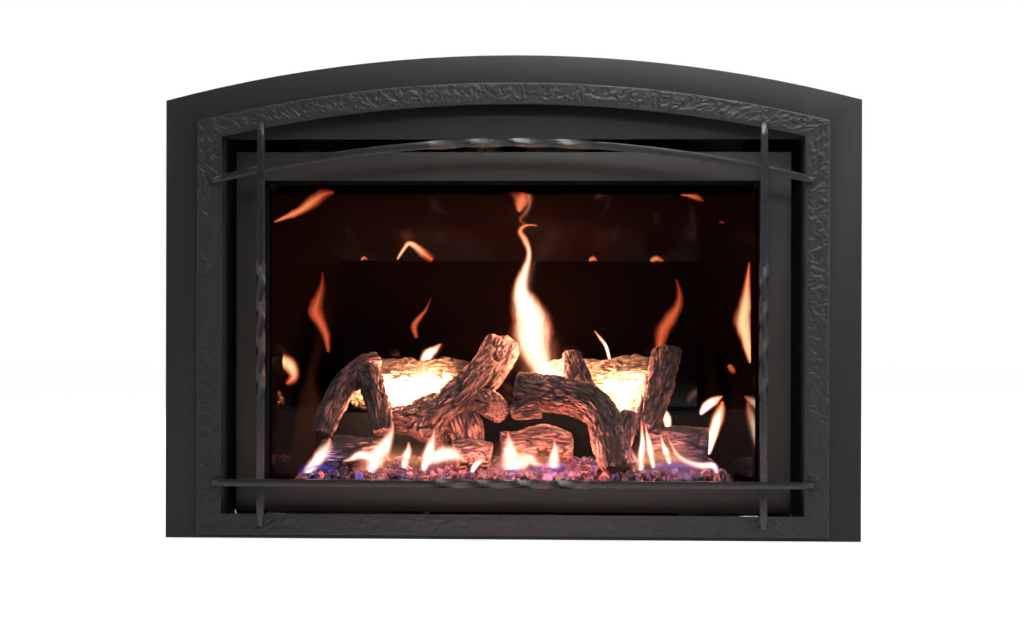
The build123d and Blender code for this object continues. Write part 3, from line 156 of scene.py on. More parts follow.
camera = {
    "place": (0.1159, -3.1871, 0.3756),
    "yaw": -2.091,
    "pitch": -0.085,
    "roll": 0.134,
    "lens": 69.08,
    "sensorWidth": 36,
}
studio = {
    "floorHalf": 9,
    "floorLevel": -0.0005,
    "floorColour": (0.7, 0.7, 0.69),
    "floorLift": 0.86,  # extra white that only the camera and mirrors see
    "dayLight": 0.12,  # what the room gives to matt surfaces
    "flagHalf": 8,  # a dark card that the black glass mirrors, as in a studio
    "flagPlace": -4.2,
    "flagFoot": -0.2,
    "flagTop": 5,
    "flagColour": (0.004, 0.004, 0.004),
    "lamps": [  # name, place, aim, width, height, watts, spread in degrees
        ("keyLamp", (1.9, -1.7, 2.1), (0.3, 0, 0.5), 1.2, 0.9, 22, 180),
        ("sideLamp", (2.2, -0.8, 1.0), (0.5, 0, 0.45), 0.8, 0.8, 1.6, 50),
        ("archLamp", (0.35, -0.9, 2.0), (0.2, 0, 0.78), 0.9, 0.4, 2.2, 45),
        ("frontLamp", (0.3, -2.8, 2.6), (0.2, 0, 0.68), 0.8, 0.6, 2.3, 30),
        ("fillLamp", (-2.8, -1.6, 1.5), (-0.3, 0, 0.5), 1.0, 1.6, 2.6, 60),
        ("topLamp", (0.3, 0.5, 3.0), (0, 0.2, 0.3), 2.2, 1.6, 26, 180),
        ("backLamp", (-1.6, 3.0, 2.0), (0, 0.3, 0.35), 2.0, 1.6, 44, 180),
    ],
}


def placeCamera(settings):
    yaw, pitch, roll = (math.radians(settings[k]) for k in ("yaw", "pitch", "roll"))
    ahead = Vector((math.sin(yaw) * math.cos(pitch), math.cos(yaw) * math.cos(pitch), math.sin(pitch)))
    level = Vector((math.cos(yaw), -math.sin(yaw), 0))
    upright = level.cross(ahead)
    right = level * math.cos(roll) + upright * math.sin(roll)
    up = upright * math.cos(roll) - level * math.sin(roll)
    made = linkObject("camera", bpy.data.cameras.new("camera"))
    made.data.lens = settings["lens"]
    made.data.sensor_width = settings["sensorWidth"]
    made.matrix_world = Matrix.Translation(settings["place"]) @ Matrix((right, up, -ahead)).transposed().to_4x4()
    bpy.context.scene.camera = made


def lightWorld(s):
    world = bpy.data.worlds.new("studio")
    bpy.context.scene.world = world
    world.use_nodes = True
    tree = world.node_tree
    strength = remap(tree, seenDirectly(tree), 0.0, 1.0, s["dayLight"], 1.0)
    setInputs(tree, tree.nodes["Background"], {"Color": (1, 1, 1, 1), "Strength": strength})


def layFloor(s):
    half, level = s["floorHalf"], s["floorLevel"]
    corners = [(-half, -half, level), (half, -half, level), (half, half, level), (-half, half, level)]
    floor = linkObject("floor", makeMesh("floor", corners, [(0, 1, 2, 3)]))
    paint, tree, shader = startMaterial("floorPaint")
    setInputs(tree, shader, {
        "Base Color": (*s["floorColour"], 1),
        "Roughness": 0.9,
        "Specular IOR Level": 0.1,
        "Emission Color": (1, 1, 1, 1),
        "Emission Strength": remap(tree, seenDirectly(tree), 0.0, 1.0, 0.0, s["floorLift"]),
    })
    floor.data.materials.append(paint)


def hangLamps(lamps):
    for name, place, aim, width, height, watts, spread in lamps:
        data = bpy.data.lights.new(name, "AREA")
        data.shape, data.size, data.size_y, data.energy = "RECTANGLE", width, height, watts
        data.spread = math.radians(spread)
        made = linkObject(name, data)
        made.location = place
        made.rotation_mode = "QUATERNION"
        made.rotation_quaternion = (Vector(aim) - Vector(place)).to_track_quat("-Z", "Y")


def standFlag(s):
    half, y, foot, top = s["flagHalf"], s["flagPlace"], s["flagFoot"], s["flagTop"]
    corners = [(-half, y, foot), (half, y, foot), (half, y, top), (-half, y, top)]
    flag = linkObject("flag", makeMesh("flag", corners, [(0, 3, 2, 1)]))
    cloth, tree, shader = startMaterial("flagCloth")
    setInputs(tree, shader, {"Base Color": (*s["flagColour"], 1), "Roughness": 1.0})
    flag.data.materials.append(cloth)
    flag.visible_camera = flag.visible_diffuse = flag.visible_shadow = False


placeCamera(camera)
lightWorld(studio)
layFloor(studio)
hangLamps(studio["lamps"])
standFlag(studio)
bpy.context.scene.view_settings.view_transform = "Standard"
print("camera and studio ready")


# Shared shader groups

surfaceOutputs = {"Colour": "Color", "Roughness": "Float", "Height": "Float"}


def buildSurfaceTone():  # patches of two shades, a fine grain that can be stretched, and uneven gloss
    tree, given, result = startTree("Shader", "surfaceTone", {
        "Colour": (0.05, 0.05, 0.05, 1.0),
        "Shade": (0.04, 0.04, 0.04, 1.0),
        "Patch Scale": 6.0,
        "Grain Scale": 900.0,
        "Stretch": (1.0, 1.0, 1.0),
        "Rough Low": 0.35,
        "Rough High": 0.5,
    }, surfaceOutputs)
    place = objectPlace(tree)
    patch = remap(tree, noiseField(tree, place, given["Patch Scale"]), 0.32, 0.68)
    stretched = calculateVector(tree, "MULTIPLY", place, given["Stretch"])
    grain = noiseField(tree, stretched, given["Grain Scale"], 2.0)
    gloss = remap(tree, patch, 0.0, 1.0, given["Rough Low"], given["Rough High"])
    setInputs(tree, result, {
        "Colour": blendColour(tree, patch, given["Colour"], given["Shade"]),
        "Roughness": calculate(tree, "ADD", gloss, remap(tree, grain, 0.0, 1.0, -0.04, 0.04)),
        "Height": grain,
    })
    return tree


def buildSpangle():  # crystals of a zinc coat
    tree, given, result = startTree("Shader", "zincSpangle", {
        "Colour": (0.5, 0.5, 0.5, 1.0), "Shade": (0.4, 0.4, 0.4, 1.0), "Crystal Scale": 90.0,
    }, surfaceOutputs)
    place = objectPlace(tree)
    cells = addNode(tree, "TexVoronoi", {"Vector": place, "Scale": given["Crystal Scale"], "Randomness": 1.0})
    tone = addNode(tree, "SeparateColor", {0: cells.outputs["Color"]}).outputs
    setInputs(tree, result, {
        "Colour": blendColour(tree, tone[0], given["Colour"], given["Shade"]),
        "Roughness": remap(tree, tone[1], 0.0, 1.0, 0.34, 0.52),
        "Height": noiseField(tree, place, 700.0, 2.0),
    })
    return tree


def buildBarkTone():  # moulded bark: pale ridges, charred cracks and sawn ends
    tree, given, result = startTree("Shader", "barkTone", {
        "Ridge": (0.3, 0.2, 0.12, 1.0),
        "Char": (0.03, 0.025, 0.02, 1.0),
        "Heart": (0.4, 0.28, 0.17, 1.0),
        "Burn": 0.5,
    }, surfaceOutputs)
    along = readAttribute(tree, "barkSpace", "Vector")
    flat = calculateVector(tree, "MULTIPLY", along, (1.0, 1.0, 0.22))
    fibre = noiseField(tree, flat, 260.0, 4.0, 0.65)
    flakes = addNode(tree, "TexVoronoi", {"Vector": flat, "Scale": 120.0}, feature="DISTANCE_TO_EDGE")
    gaps = calculate(tree, "MULTIPLY", remap(tree, flakes.outputs["Distance"], 0.0, 0.18, 1.0, 0.0), 0.7)
    charred = remap(tree, noiseField(tree, objectPlace(tree), 22.0, 3.0), 0.35, 0.62, 0.0, given["Burn"])
    bark = given["Ridge"]
    for share in (charred, remap(tree, fibre, 0.38, 0.6, 0.85, 0.0), gaps, readAttribute(tree, "crack")):
        bark = blendColour(tree, share, bark, given["Char"])
    rings = addNode(
        tree, "TexWave", {"Vector": along, "Scale": 90.0, "Distortion": 3.0, "Detail": 2.0},
        wave_type="RINGS", rings_direction="Z",
    )
    end = blendColour(tree, remap(tree, rings.outputs[1], 0.2, 0.9, 0.0, 0.6), given["Heart"], given["Char"])
    setInputs(tree, result, {
        "Colour": blendColour(tree, readAttribute(tree, "sawn"), bark, end),
        "Roughness": remap(tree, fibre, 0.3, 0.7, 0.78, 0.95),
        "Height": calculate(tree, "SUBTRACT", fibre, gaps),
    })
    return tree


def buildFlameTone():  # colour and thickness of a flame from its warmth across and its height
    tree, given, result = startTree("Shader", "flameTone", {
        "Edge": (1.0, 0.16, 0.02, 1.0), "Core": (1.0, 0.8, 0.55, 1.0), "Foot": (0.1, 0.1, 0.6, 1.0), "Body": 1.0,
    }, {"Colour": "Color", "Alpha": "Float"})
    warmth, rise = readAttribute(tree, "warmth"), readAttribute(tree, "rise")
    wisp = calculateVector(tree, "MULTIPLY", objectPlace(tree), (1.0, 1.0, 0.3))
    lick = remap(tree, noiseField(tree, wisp, 70.0, 3.0), 0.3, 0.7)
    tone = blendColour(tree, remap(tree, warmth, 0.2, 0.75), given["Edge"], given["Core"])
    tone = blendColour(tree, remap(tree, rise, 0.58, 0.92, 0.0, 0.9), tone, given["Edge"])
    blue = calculate(tree, "MULTIPLY", remap(tree, rise, 0.0, 0.3, 1.0, 0.0), remap(tree, warmth, 0.3, 0.8, 1.0, 0.15))
    thick = calculate(tree, "POWER", warmth, remap(tree, lick, 0.0, 1.0, 3.8, 1.5))
    fade = calculate(tree, "MULTIPLY", remap(tree, rise, 0.0, 0.15, 0.3, 1.0), remap(tree, rise, 0.5, 1.0, 1.0, 0.14))
    alpha = calculate(tree, "MULTIPLY", calculate(tree, "MULTIPLY", thick, fade), given["Body"])
    setInputs(tree, result, {
        "Colour": blendColour(tree, blue, tone, given["Foot"]),
        "Alpha": calculate(tree, "MINIMUM", alpha, 1.0),
    })
    return tree


groups = {
    "surface": buildSurfaceTone(),
    "spangle": buildSpangle(),
    "bark": buildBarkTone(),
    "flame": buildFlameTone(),
}


# Finishes

surfaceFinishes = {  # colour, shade, patch scale, grain scale, roughness from and to, bump, metallic, specular,
    # and for some the stretch of the grain and the depth of the bump
    "panelPaint": ((0.022, 0.023, 0.025), (0.018, 0.019, 0.02), 3.0, 1400.0, 0.42, 0.5, 0.10, 0.0, 0.16),
    "hammeredPaint": ((0.018, 0.019, 0.021), (0.014, 0.015, 0.017), 5.0, 1200.0, 0.4, 0.5, 0.12, 0.0, 0.28),
    "forgedPaint": ((0.017, 0.018, 0.021), (0.012, 0.013, 0.015), 18.0, 700.0, 0.24, 0.36, 0.2, 0.0, 0.36),
    "windowPaint": ((0.028, 0.026, 0.024), (0.023, 0.021, 0.02), 3.0, 1400.0, 0.4, 0.5, 0.08, 0.0, 0.16),
    "fireboxPaint": ((0.0022, 0.002, 0.002), (0.0015, 0.0014, 0.0014), 8.0, 900.0, 0.6, 0.75, 0.2, 0.0, 0.15),
    # the burner deck is darker than the firebox paint: painted shade of the logs falling on it
    "shadedDeckSteel": ((0.0009, 0.0008, 0.0007), (0.0005, 0.0005, 0.0005), 8.0, 900.0, 0.75, 0.9, 0.2, 0.0, 0.03),
    # the black has a reddish tint: painted glow of the fire on the liners
    "blackGlass": ((0.0011, 0.0005, 0.0004), (0.0008, 0.0003, 0.0003), 4.0, 500.0, 0.05, 0.1, 0.0, 0.0, 0.3),
    "brightSteel": ((0.52, 0.52, 0.53), (0.44, 0.44, 0.45), 30.0, 500.0, 0.22, 0.36, 0.08, 1.0, 0.5, (1.0, 1.0, 14.0)),
    "castAlloy": ((0.5, 0.51, 0.52), (0.42, 0.43, 0.44), 40.0, 420.0, 0.45, 0.6, 0.5, 1.0, 0.5),
    "tubeAlloy": ((0.6, 0.61, 0.62), (0.5, 0.51, 0.52), 25.0, 300.0, 0.25, 0.38, 0.08, 1.0, 0.5, (14.0, 14.0, 1.0)),
    "turnedBrass": ((0.62, 0.46, 0.2), (0.52, 0.37, 0.15), 60.0, 400.0, 0.2, 0.34, 0.08, 1.0, 0.5, (1.0, 1.0, 16.0)),
    "oiledIron": ((0.06, 0.06, 0.06), (0.035, 0.034, 0.033), 60.0, 500.0, 0.35, 0.55, 0.4, 0.6, 0.5),
    "matPlastic": ((0.02, 0.02, 0.02), (0.016, 0.016, 0.016), 30.0, 1600.0, 0.45, 0.55, 0.25, 0.0, 0.5),
    "redPlastic": ((0.34, 0.03, 0.025), (0.28, 0.025, 0.02), 60.0, 1600.0, 0.35, 0.45, 0.15, 0.0, 0.5),
    "fibreRope": (
        (0.34, 0.33, 0.31), (0.24, 0.23, 0.21), 300.0, 260.0, 0.85, 0.95, 0.9, 0.0, 0.5, (1.0, 1.0, 2.5), 0.001,
    ),
}
zincShades = {"Colour": (0.40, 0.41, 0.42, 1.0), "Shade": (0.30, 0.31, 0.325, 1.0)}
barkFinishes = {  # ridge, char, heart of the wood, share that is burnt
    # the front logs' bark is darker and redder than the rear logs': painted shade on their fronts and painted light of
    # the embers
    "frontBark": ((0.25, 0.112, 0.092), (0.005, 0.0025, 0.0028), (0.13, 0.06, 0.046), 0.68),
    "rearBark": ((0.50, 0.31, 0.20), (0.05, 0.022, 0.015), (0.5, 0.32, 0.2), 0.35),
}
flameFinishes = {  # edge, core, foot, body, strength
    "flame": ((1.0, 0.13, 0.04), (1.0, 0.62, 0.40), (0.14, 0.07, 0.34), 0.9, 5.0),
    "lowFlame": ((1.0, 0.22, 0.14), (1.0, 0.72, 0.55), (0.26, 0.14, 0.80), 0.95, 3.3),
    # the roof, dim and wisp finishes glow as painted reflections of the flames on the black glass
    "roofFlame": ((1.0, 0.10, 0.03), (1.0, 0.40, 0.19), (1.0, 0.18, 0.06), 0.95, 2.3),
    "dimFlame": ((0.8, 0.06, 0.02), (1.0, 0.24, 0.09), (0.6, 0.05, 0.02), 0.95, 1.2),
    "blueFlame": ((0.08, 0.03, 0.30), (0.16, 0.11, 0.70), (0.05, 0.04, 0.3), 0.34, 0.9),
    "wispFlame": ((0.6, 0.045, 0.015), (0.85, 0.14, 0.05), (0.4, 0.03, 0.01), 0.9, 1.0),
    "haloFlame": ((1.0, 0.12, 0.04), (1.0, 0.36, 0.16), (0.4, 0.06, 0.2), 0.3, 1.0),
}


def nameValues(labels, row):  # a colour gets its alpha
    return {label: (*value, 1.0) if isinstance(value, tuple) else value for label, value in zip(labels, row)}


def makeFinish(name, group, values, bump, bumpDistance=0.0005, plain=None):
    material, tree, shader = startMaterial(name)
    effect = addNode(tree, "Group", values, node_tree=groups[group]).outputs
    setInputs(tree, shader, {"Base Color": effect["Colour"], "Roughness": effect["Roughness"], **(plain or {})})
    if bump:
        relief = addNode(tree, "Bump", {"Strength": bump, "Distance": bumpDistance, "Height": effect["Height"]})
        setInputs(tree, shader, {"Normal": relief.outputs[0]})
    return material


def surfaceFinish(name, row, bump, metallic, specular, stretch=(1.0, 1.0, 1.0), bumpDistance=0.0005):
    labels = ("Colour", "Shade", "Patch Scale", "Grain Scale", "Rough Low", "Rough High")
    values = {**nameValues(labels, row), "Stretch": stretch}
    plain = {"Metallic": metallic, "Specular IOR Level": specular}
    return makeFinish(name, "surface", values, bump, bumpDistance, plain)


def flameFinish(name, row, strength):
    material, tree, shader = startMaterial(name)
    values = nameValues(("Edge", "Core", "Foot", "Body"), row)
    effect = addNode(tree, "Group", values, node_tree=groups["flame"]).outputs
    setInputs(tree, shader, {
        "Base Color": (0, 0, 0, 1),
        "Roughness": 1.0,
        "Specular IOR Level": 0.0,
        "Emission Color": effect["Colour"],
        "Emission Strength": strength,
        "Alpha": effect["Alpha"],
    })
    return material


def clearGlass():
    material, tree, shader = startMaterial("clearGlass")
    setInputs(tree, shader, {
        "Base Color": (0.0005, 0.0005, 0.0005, 1),
        "Roughness": remap(tree, noiseField(tree, objectPlace(tree), 5.0, 4.0), 0.4, 0.7, 0.0, 0.03),  # a faint smear
        "Specular IOR Level": 0.35,
        "Alpha": 0.08,
    })
    return material


def zincWithShadeLining():  # zinc outside, heat-proof black paint on the faces that look inwards, which also stands in as painted shade in the dark gaps beside the window
    material = makeFinish("zincWithShadeLining", "spangle", zincShades, 0.05)
    tree = material.node_tree
    zinc = next(n for n in tree.nodes if n.type == "GROUP").outputs
    sideways = calculateVector(tree, "MULTIPLY", objectPlace(tree), (1.0, 0.0, 0.0))
    facing = addNode(tree, "NewGeometry").outputs["True Normal"]
    outwards = addNode(tree, "VectorMath", {0: sideways, 1: facing}, operation="DOT_PRODUCT").outputs["Value"]
    outside = remap(tree, outwards, 0.05, 0.2)
    setInputs(tree, tree.nodes["Principled BSDF"], {
        "Base Color": blendColour(tree, outside, (0.004, 0.004, 0.004, 1.0), zinc["Colour"]),
        "Metallic": outside,
        "Roughness": blendColour(tree, outside, (0.7, 0.7, 0.7, 1.0), zinc["Roughness"]),
    })
    return material


finishes = {name: surfaceFinish(name, row[:6], *row[6:]) for name, row in surfaceFinishes.items()}
finishes["zincCoat"] = makeFinish("zincCoat", "spangle", zincShades, 0.05, plain={"Metallic": 1.0})
finishes["zincWithShadeLining"] = zincWithShadeLining()
finishes["clearGlass"] = clearGlass()
for name, row in barkFinishes.items():
    finishes[name] = makeFinish(name, "bark", nameValues(("Ridge", "Char", "Heart", "Burn"), row), 1.0, 0.003)
for name, row in flameFinishes.items():
    finishes[name] = flameFinish(name, row[:4], row[4])

nodeFinish = {
    "panelPaint": ["surround_panel", "upper_hood"],
    "hammeredPaint": ["hammered_face"],
    "zincWithShadeLining": ["casing_sides"],
    "forgedPaint": ["upper_bar", "lower_bar", "left_bar", "right_bar"],
    "windowPaint": ["window_frame"],
    "clearGlass": ["window_glass"],
    "fibreRope": ["window_gasket"],
    "fireboxPaint": ["firebox_floor", "firebox_sides", "firebox_back", "firebox_top", "firebox_front_frame"],
    "shadedDeckSteel": ["burner_deck"],
    "blackGlass": ["side_liners", "back_liner", "ceiling_liner"],
    "zincCoat": [
        "surround_brackets", "casing_base", "casing_back", "casing_top", "firebox_rails",
        "vent_plate", "intake_duct", "control_panel", "junction_box", "blower_housings",
    ],
    "brightSteel": [
        "face_magnets", "window_hinges", "window_catches", "levelling_bolts", "burner_tube",
        "pilot_assembly", "air_shutter", "blower_shaft",
    ],
    "tubeAlloy": ["vent_collars", "gas_tubes", "blower_wheels"],
    "castAlloy": ["gas_valve", "blower_motor"],
    "turnedBrass": ["orifice_holder"],
    "oiledIron": ["gas_inlet_pipe"],
    "matPlastic": ["igniter_body", "gas_knob", "flame_knob", "fan_knob", "cord_gland"],
    "redPlastic": ["igniter_button"],
    "frontBark": ["small_logs", "centre_log", "left_fork_log", "right_fork_log", "leaning_log"],
    "rearBark": ["rear_left_log", "rear_right_log", "ember_bed"],
}
for finish, names in nodeFinish.items():
    for name in names:
        nodes[name].data.materials.clear()
        nodes[name].data.materials.append(finishes[finish])
print("finishes ready:", len(finishes))


def finishPiece(piece, body, finish, slot, *replaced):
    piece.data.materials.clear()
    piece.data.materials.append(finishes[finish])
    if replaced:
        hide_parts(*replaced)
    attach(piece, body)
    return piece


def slotOf(node):
    return next(s["material_slot"] for s in frame["record"]["subparts"] if s["node"] == node)


# Sheet metal and bars with worked edges, made from the model's own solids

edgeWork = {
    "widths": {  # of the rounded edge, in metres
        "surround_panel": 0.0007,
        "upper_hood": 0.0005,
        "window_frame": 0.0008,
        "upper_bar": 0.0011,
        "lower_bar": 0.0011,
        "left_bar": 0.0011,
        "right_bar": 0.0011,
    },
    "segments": 2,
    "flatAngle": 0.8,  # degrees: triangles that turn less are joined
    "sharpAngle": 38,  # edges that turn more are rounded
    "smoothAngle": 30,  # edges that turn more are shaded sharp
}


def roundEdges(node, width, e):
    shape = bmesh.new()
    shape.from_mesh(nodes[node].data)
    bmesh.ops.remove_doubles(shape, verts=shape.verts, dist=1e-6)
    flat = math.radians(e["flatAngle"])
    bmesh.ops.dissolve_limit(shape, angle_limit=flat, verts=shape.verts, edges=shape.edges)
    turn = math.radians(e["sharpAngle"])
    sharp = [edge for edge in shape.edges if edge.is_manifold and edge.calc_face_angle() > turn]
    bmesh.ops.bevel(
        shape, geom=sharp, offset=width, segments=e["segments"], profile=0.5, affect="EDGES", clamp_overlap=True,
    )
    bmesh.ops.triangulate(shape, faces=[f for f in shape.faces if len(f.verts) > 4])
    mesh = bpy.data.meshes.new(node + "Worked")
    shape.to_mesh(mesh)
    shape.free()
    mesh.shade_smooth()
    mesh.set_sharp_from_angle(angle=math.radians(e["smoothAngle"]))
    return linkObject(node + "Worked", mesh)


finishOf = {name: finish for finish, names in nodeFinish.items() for name in names}
bodyOf = {name: body for body, names in frame["record"]["behaviour"]["bodies"].items() for name in names}
for name, width in edgeWork["widths"].items():
    finishPiece(roundEdges(name, width, edgeWork), bodyOf[name], finishOf[name], slotOf(name), name)
print("edges worked:", len(edgeWork["widths"]))


# Rubber grommet in the hole for the gas line

grommet = {
    "centre": (-0.470, 0.0636, 0.024),
    "sides": 48,
    "profile": [  # place along X and radius, round the lip and the groove that holds the sheet
        (-0.0022, 0.0105), (-0.0022, 0.0205), (-0.0016, 0.0218), (-0.0008, 0.0222), (-0.0002, 0.0216), (0.0, 0.0199),
        (0.0016, 0.0199), (0.0018, 0.0214), (0.0024, 0.0218), (0.0036, 0.0210), (0.0052, 0.0160), (0.0056, 0.0118),
        (0.0052, 0.0105),
    ],
}


def buildGrommet(g):
    verts = []
    for along, radius in g["profile"]:
        for i in range(g["sides"]):
            a = 2 * math.pi * i / g["sides"]
            verts.append(Vector(g["centre"]) + Vector((along, radius * math.cos(a), radius * math.sin(a))))
    faces = gridFaces(len(g["profile"]), g["sides"], closedRows=True, closedColumns=True)
    return linkObject("gasGrommet", makeMesh("gasGrommet", verts, faces))


finishPiece(buildGrommet(grommet), bodyOf["casing_sides"], "matPlastic", slotOf("cord_gland"))


# Geometry Nodes helpers

def startNodes(name, inputs):
    return startTree("Geometry", name, {"Geometry": None, **inputs}, {"Geometry": "Geometry"})


def closeNodes(tree, geometry, material, result):
    whole = addNode(tree, "GeometryNodeRealizeInstances", {"Geometry": geometry})
    painted = addNode(tree, "GeometryNodeSetMaterial", {"Geometry": whole.outputs[0], "Material": material})
    setInputs(tree, result, {"Geometry": painted.outputs[0]})


def bakeNodes(piece, tree, values):
    modifier = piece.modifiers.new("shape", "NODES")
    modifier.node_group = tree
    for item in tree.interface.items_tree:
        if item.in_out == "INPUT" and item.name in values:
            modifier[item.identifier] = values[item.name]
    graph = bpy.context.evaluated_depsgraph_get()
    mesh = bpy.data.meshes.new_from_object(piece.evaluated_get(graph), depsgraph=graph)
    piece.modifiers.clear()
    piece.data = mesh
    return piece


# Hammered face band

band = {
    "halfWidth": 0.507,
    "innerHalf": 0.468,
    "bottom": 0.0087,
    "innerBottom": 0.042,
    "cornerOut": 0.6748,
    "cornerIn": 0.6491,
    "crownOut": 0.7356,
    "crownIn": 0.7006,
    "front": -0.042,
    "back": -0.037,
    "edgeRadius": 0.0012,
    "width": 0.037,
    "step": 0.0017,
    "rows": 26,
    "lengths": (0.65, 1.0, 1.02),  # of a side, the foot and the arch, for the count of points
    "outerFade": 12,  # how fast the marks come in from the edges, per width of the band
    "innerFade": 5.5,
    "innerPlain": 0.25,
    "Mark Pitch": 0.0085,
    "Mark Length": 0.0140,
    "Depth": 0.0020,
    "Seed": 4,
}


def hammerMarks():
    tree, given, result = startNodes("hammerMarks", {
        "Mark Pitch": 0.006, "Mark Length": 0.013, "Depth": 0.001, "Seed": 4, "Material": finishes["hammeredPaint"],
    })

    def sums(operation, first, second):
        return calculate(tree, operation, first, second)

    def attribute(label):
        return addNode(tree, "GeometryNodeInputNamedAttribute", {"Name": label}).outputs[0]

    def field(label, vector, scale, detail):
        return addNode(tree, "TexNoise", {"Vector": vector, "Scale": scale, "Detail": detail}).outputs[label]

    run = sums("DIVIDE", attribute("run"), given["Mark Pitch"])
    across = sums("DIVIDE", attribute("across"), given["Mark Length"])
    spot = addNode(tree, "CombineXYZ", {0: run, 1: across, 2: given["Seed"]}).outputs[0]
    push = calculateVector(tree, "SUBTRACT", field("Color", spot, 0.5, 2.0), (0.5, 0.5, 0.5))
    spot = calculateVector(tree, "ADD", spot, calculateVector(tree, "MULTIPLY", push, (5.0, 2.2, 0.0)))
    worms = sums("ABSOLUTE", sums("SUBTRACT", field(0, spot, 0.85, 1.5), 0.5), 0.0)
    ridges = addNode(
        tree, "MapRange", {0: worms, 1: 0.02, 2: 0.12, 3: 1.0, 4: 0.0}, interpolation_type="SMOOTHSTEP",
    ).outputs[0]
    broad = sums("SUBTRACT", field(0, spot, 0.35, 1.0), 0.5)
    relief = sums("ADD", sums("MULTIPLY", ridges, 0.75), sums("MULTIPLY", broad, 1.2))
    relief = sums("MULTIPLY", sums("MULTIPLY", relief, given["Depth"]), attribute("strength"))
    offset = addNode(tree, "CombineXYZ", {1: sums("MULTIPLY", relief, -1.0)}).outputs[0]
    moved = addNode(tree, "GeometryNodeSetPosition", {"Geometry": given["Geometry"], "Offset": offset})
    closeNodes(tree, moved.outputs[0], given["Material"], result)
    return tree


def bandOutline(half, bottom, corner, crown, counts):
    down, along, over = counts  # points on a side, on the foot and on the arch
    rise = crown - corner
    radius = (half**2 + rise**2) / (2 * rise)
    points = [(-half, corner + (bottom - corner) * i / down) for i in range(down)]
    points += [(-half + 2 * half * i / along, bottom) for i in range(along)]
    points += [(half, bottom + (corner - bottom) * i / down) for i in range(down)]
    for i in range(over):
        x = half - 2 * half * i / over
        points.append((x, crown - radius + math.sqrt(radius**2 - x**2)))
    return np.array(points)


def buildBand(b):
    counts = tuple(int(length / b["step"]) for length in b["lengths"])
    outer = bandOutline(b["halfWidth"], b["bottom"], b["cornerOut"], b["crownOut"], counts)
    inner = bandOutline(b["innerHalf"], b["innerBottom"], b["cornerIn"], b["crownIn"], counts)
    loop = len(outer)
    r = b["edgeRadius"]
    bends = [(r * (1 - math.sin(math.radians(a))), r * (1 - math.cos(math.radians(a)))) for a in (0, 30, 60, 90)]
    profile = [(0.0, b["back"], 0.0)]  # share of the way across, depth, inset
    profile += [(0.0, b["front"] + lift, inset) for lift, inset in bends]
    profile += [(i / b["rows"], b["front"], 0.0) for i in range(1, b["rows"])]
    profile += [(1.0, b["front"] + lift, -inset) for lift, inset in bends[::-1]]
    profile += [(1.0, b["back"], 0.0)]
    inward = (inner - outer) / np.linalg.norm(inner - outer, axis=1, keepdims=True)
    steps = np.linalg.norm(np.roll(outer, -1, axis=0) - outer, axis=1)
    runs = np.concatenate([[0], np.cumsum(steps)[:-1]])
    verts, strengths = [], []
    for share, depth, inset in profile:
        level = outer + (inner - outer) * share + inward * inset
        verts.append(np.column_stack([level[:, 0], np.full(loop, depth), level[:, 1]]))
        fromInside = max(0.0, (1 - share) * b["innerFade"] - b["innerPlain"])
        strengths.append(min(1.0, max(0.0, share * b["outerFade"])) * min(1.0, fromInside) if 0 < share < 1 else 0.0)
    attributes = {
        "run": np.tile(runs, len(profile)),
        "across": np.repeat([share * b["width"] for share, depth, inset in profile], loop),
        "strength": np.repeat(strengths, loop),
    }
    faces = gridFaces(len(profile), loop, closedRows=True, closedColumns=True)
    return linkObject("hammeredBand", makeMesh("hammeredBand", np.concatenate(verts).tolist(), faces, attributes))


hammeredBand = bakeNodes(buildBand(band), hammerMarks(), {**band, "Material": finishes["hammeredPaint"]})
finishPiece(hammeredBand, "front", "hammeredPaint", "hammered_black", "hammered_face")
print("hammered band:", len(hammeredBand.data.polygons), "faces")


# Ceramic logs: limbs with moulded bark

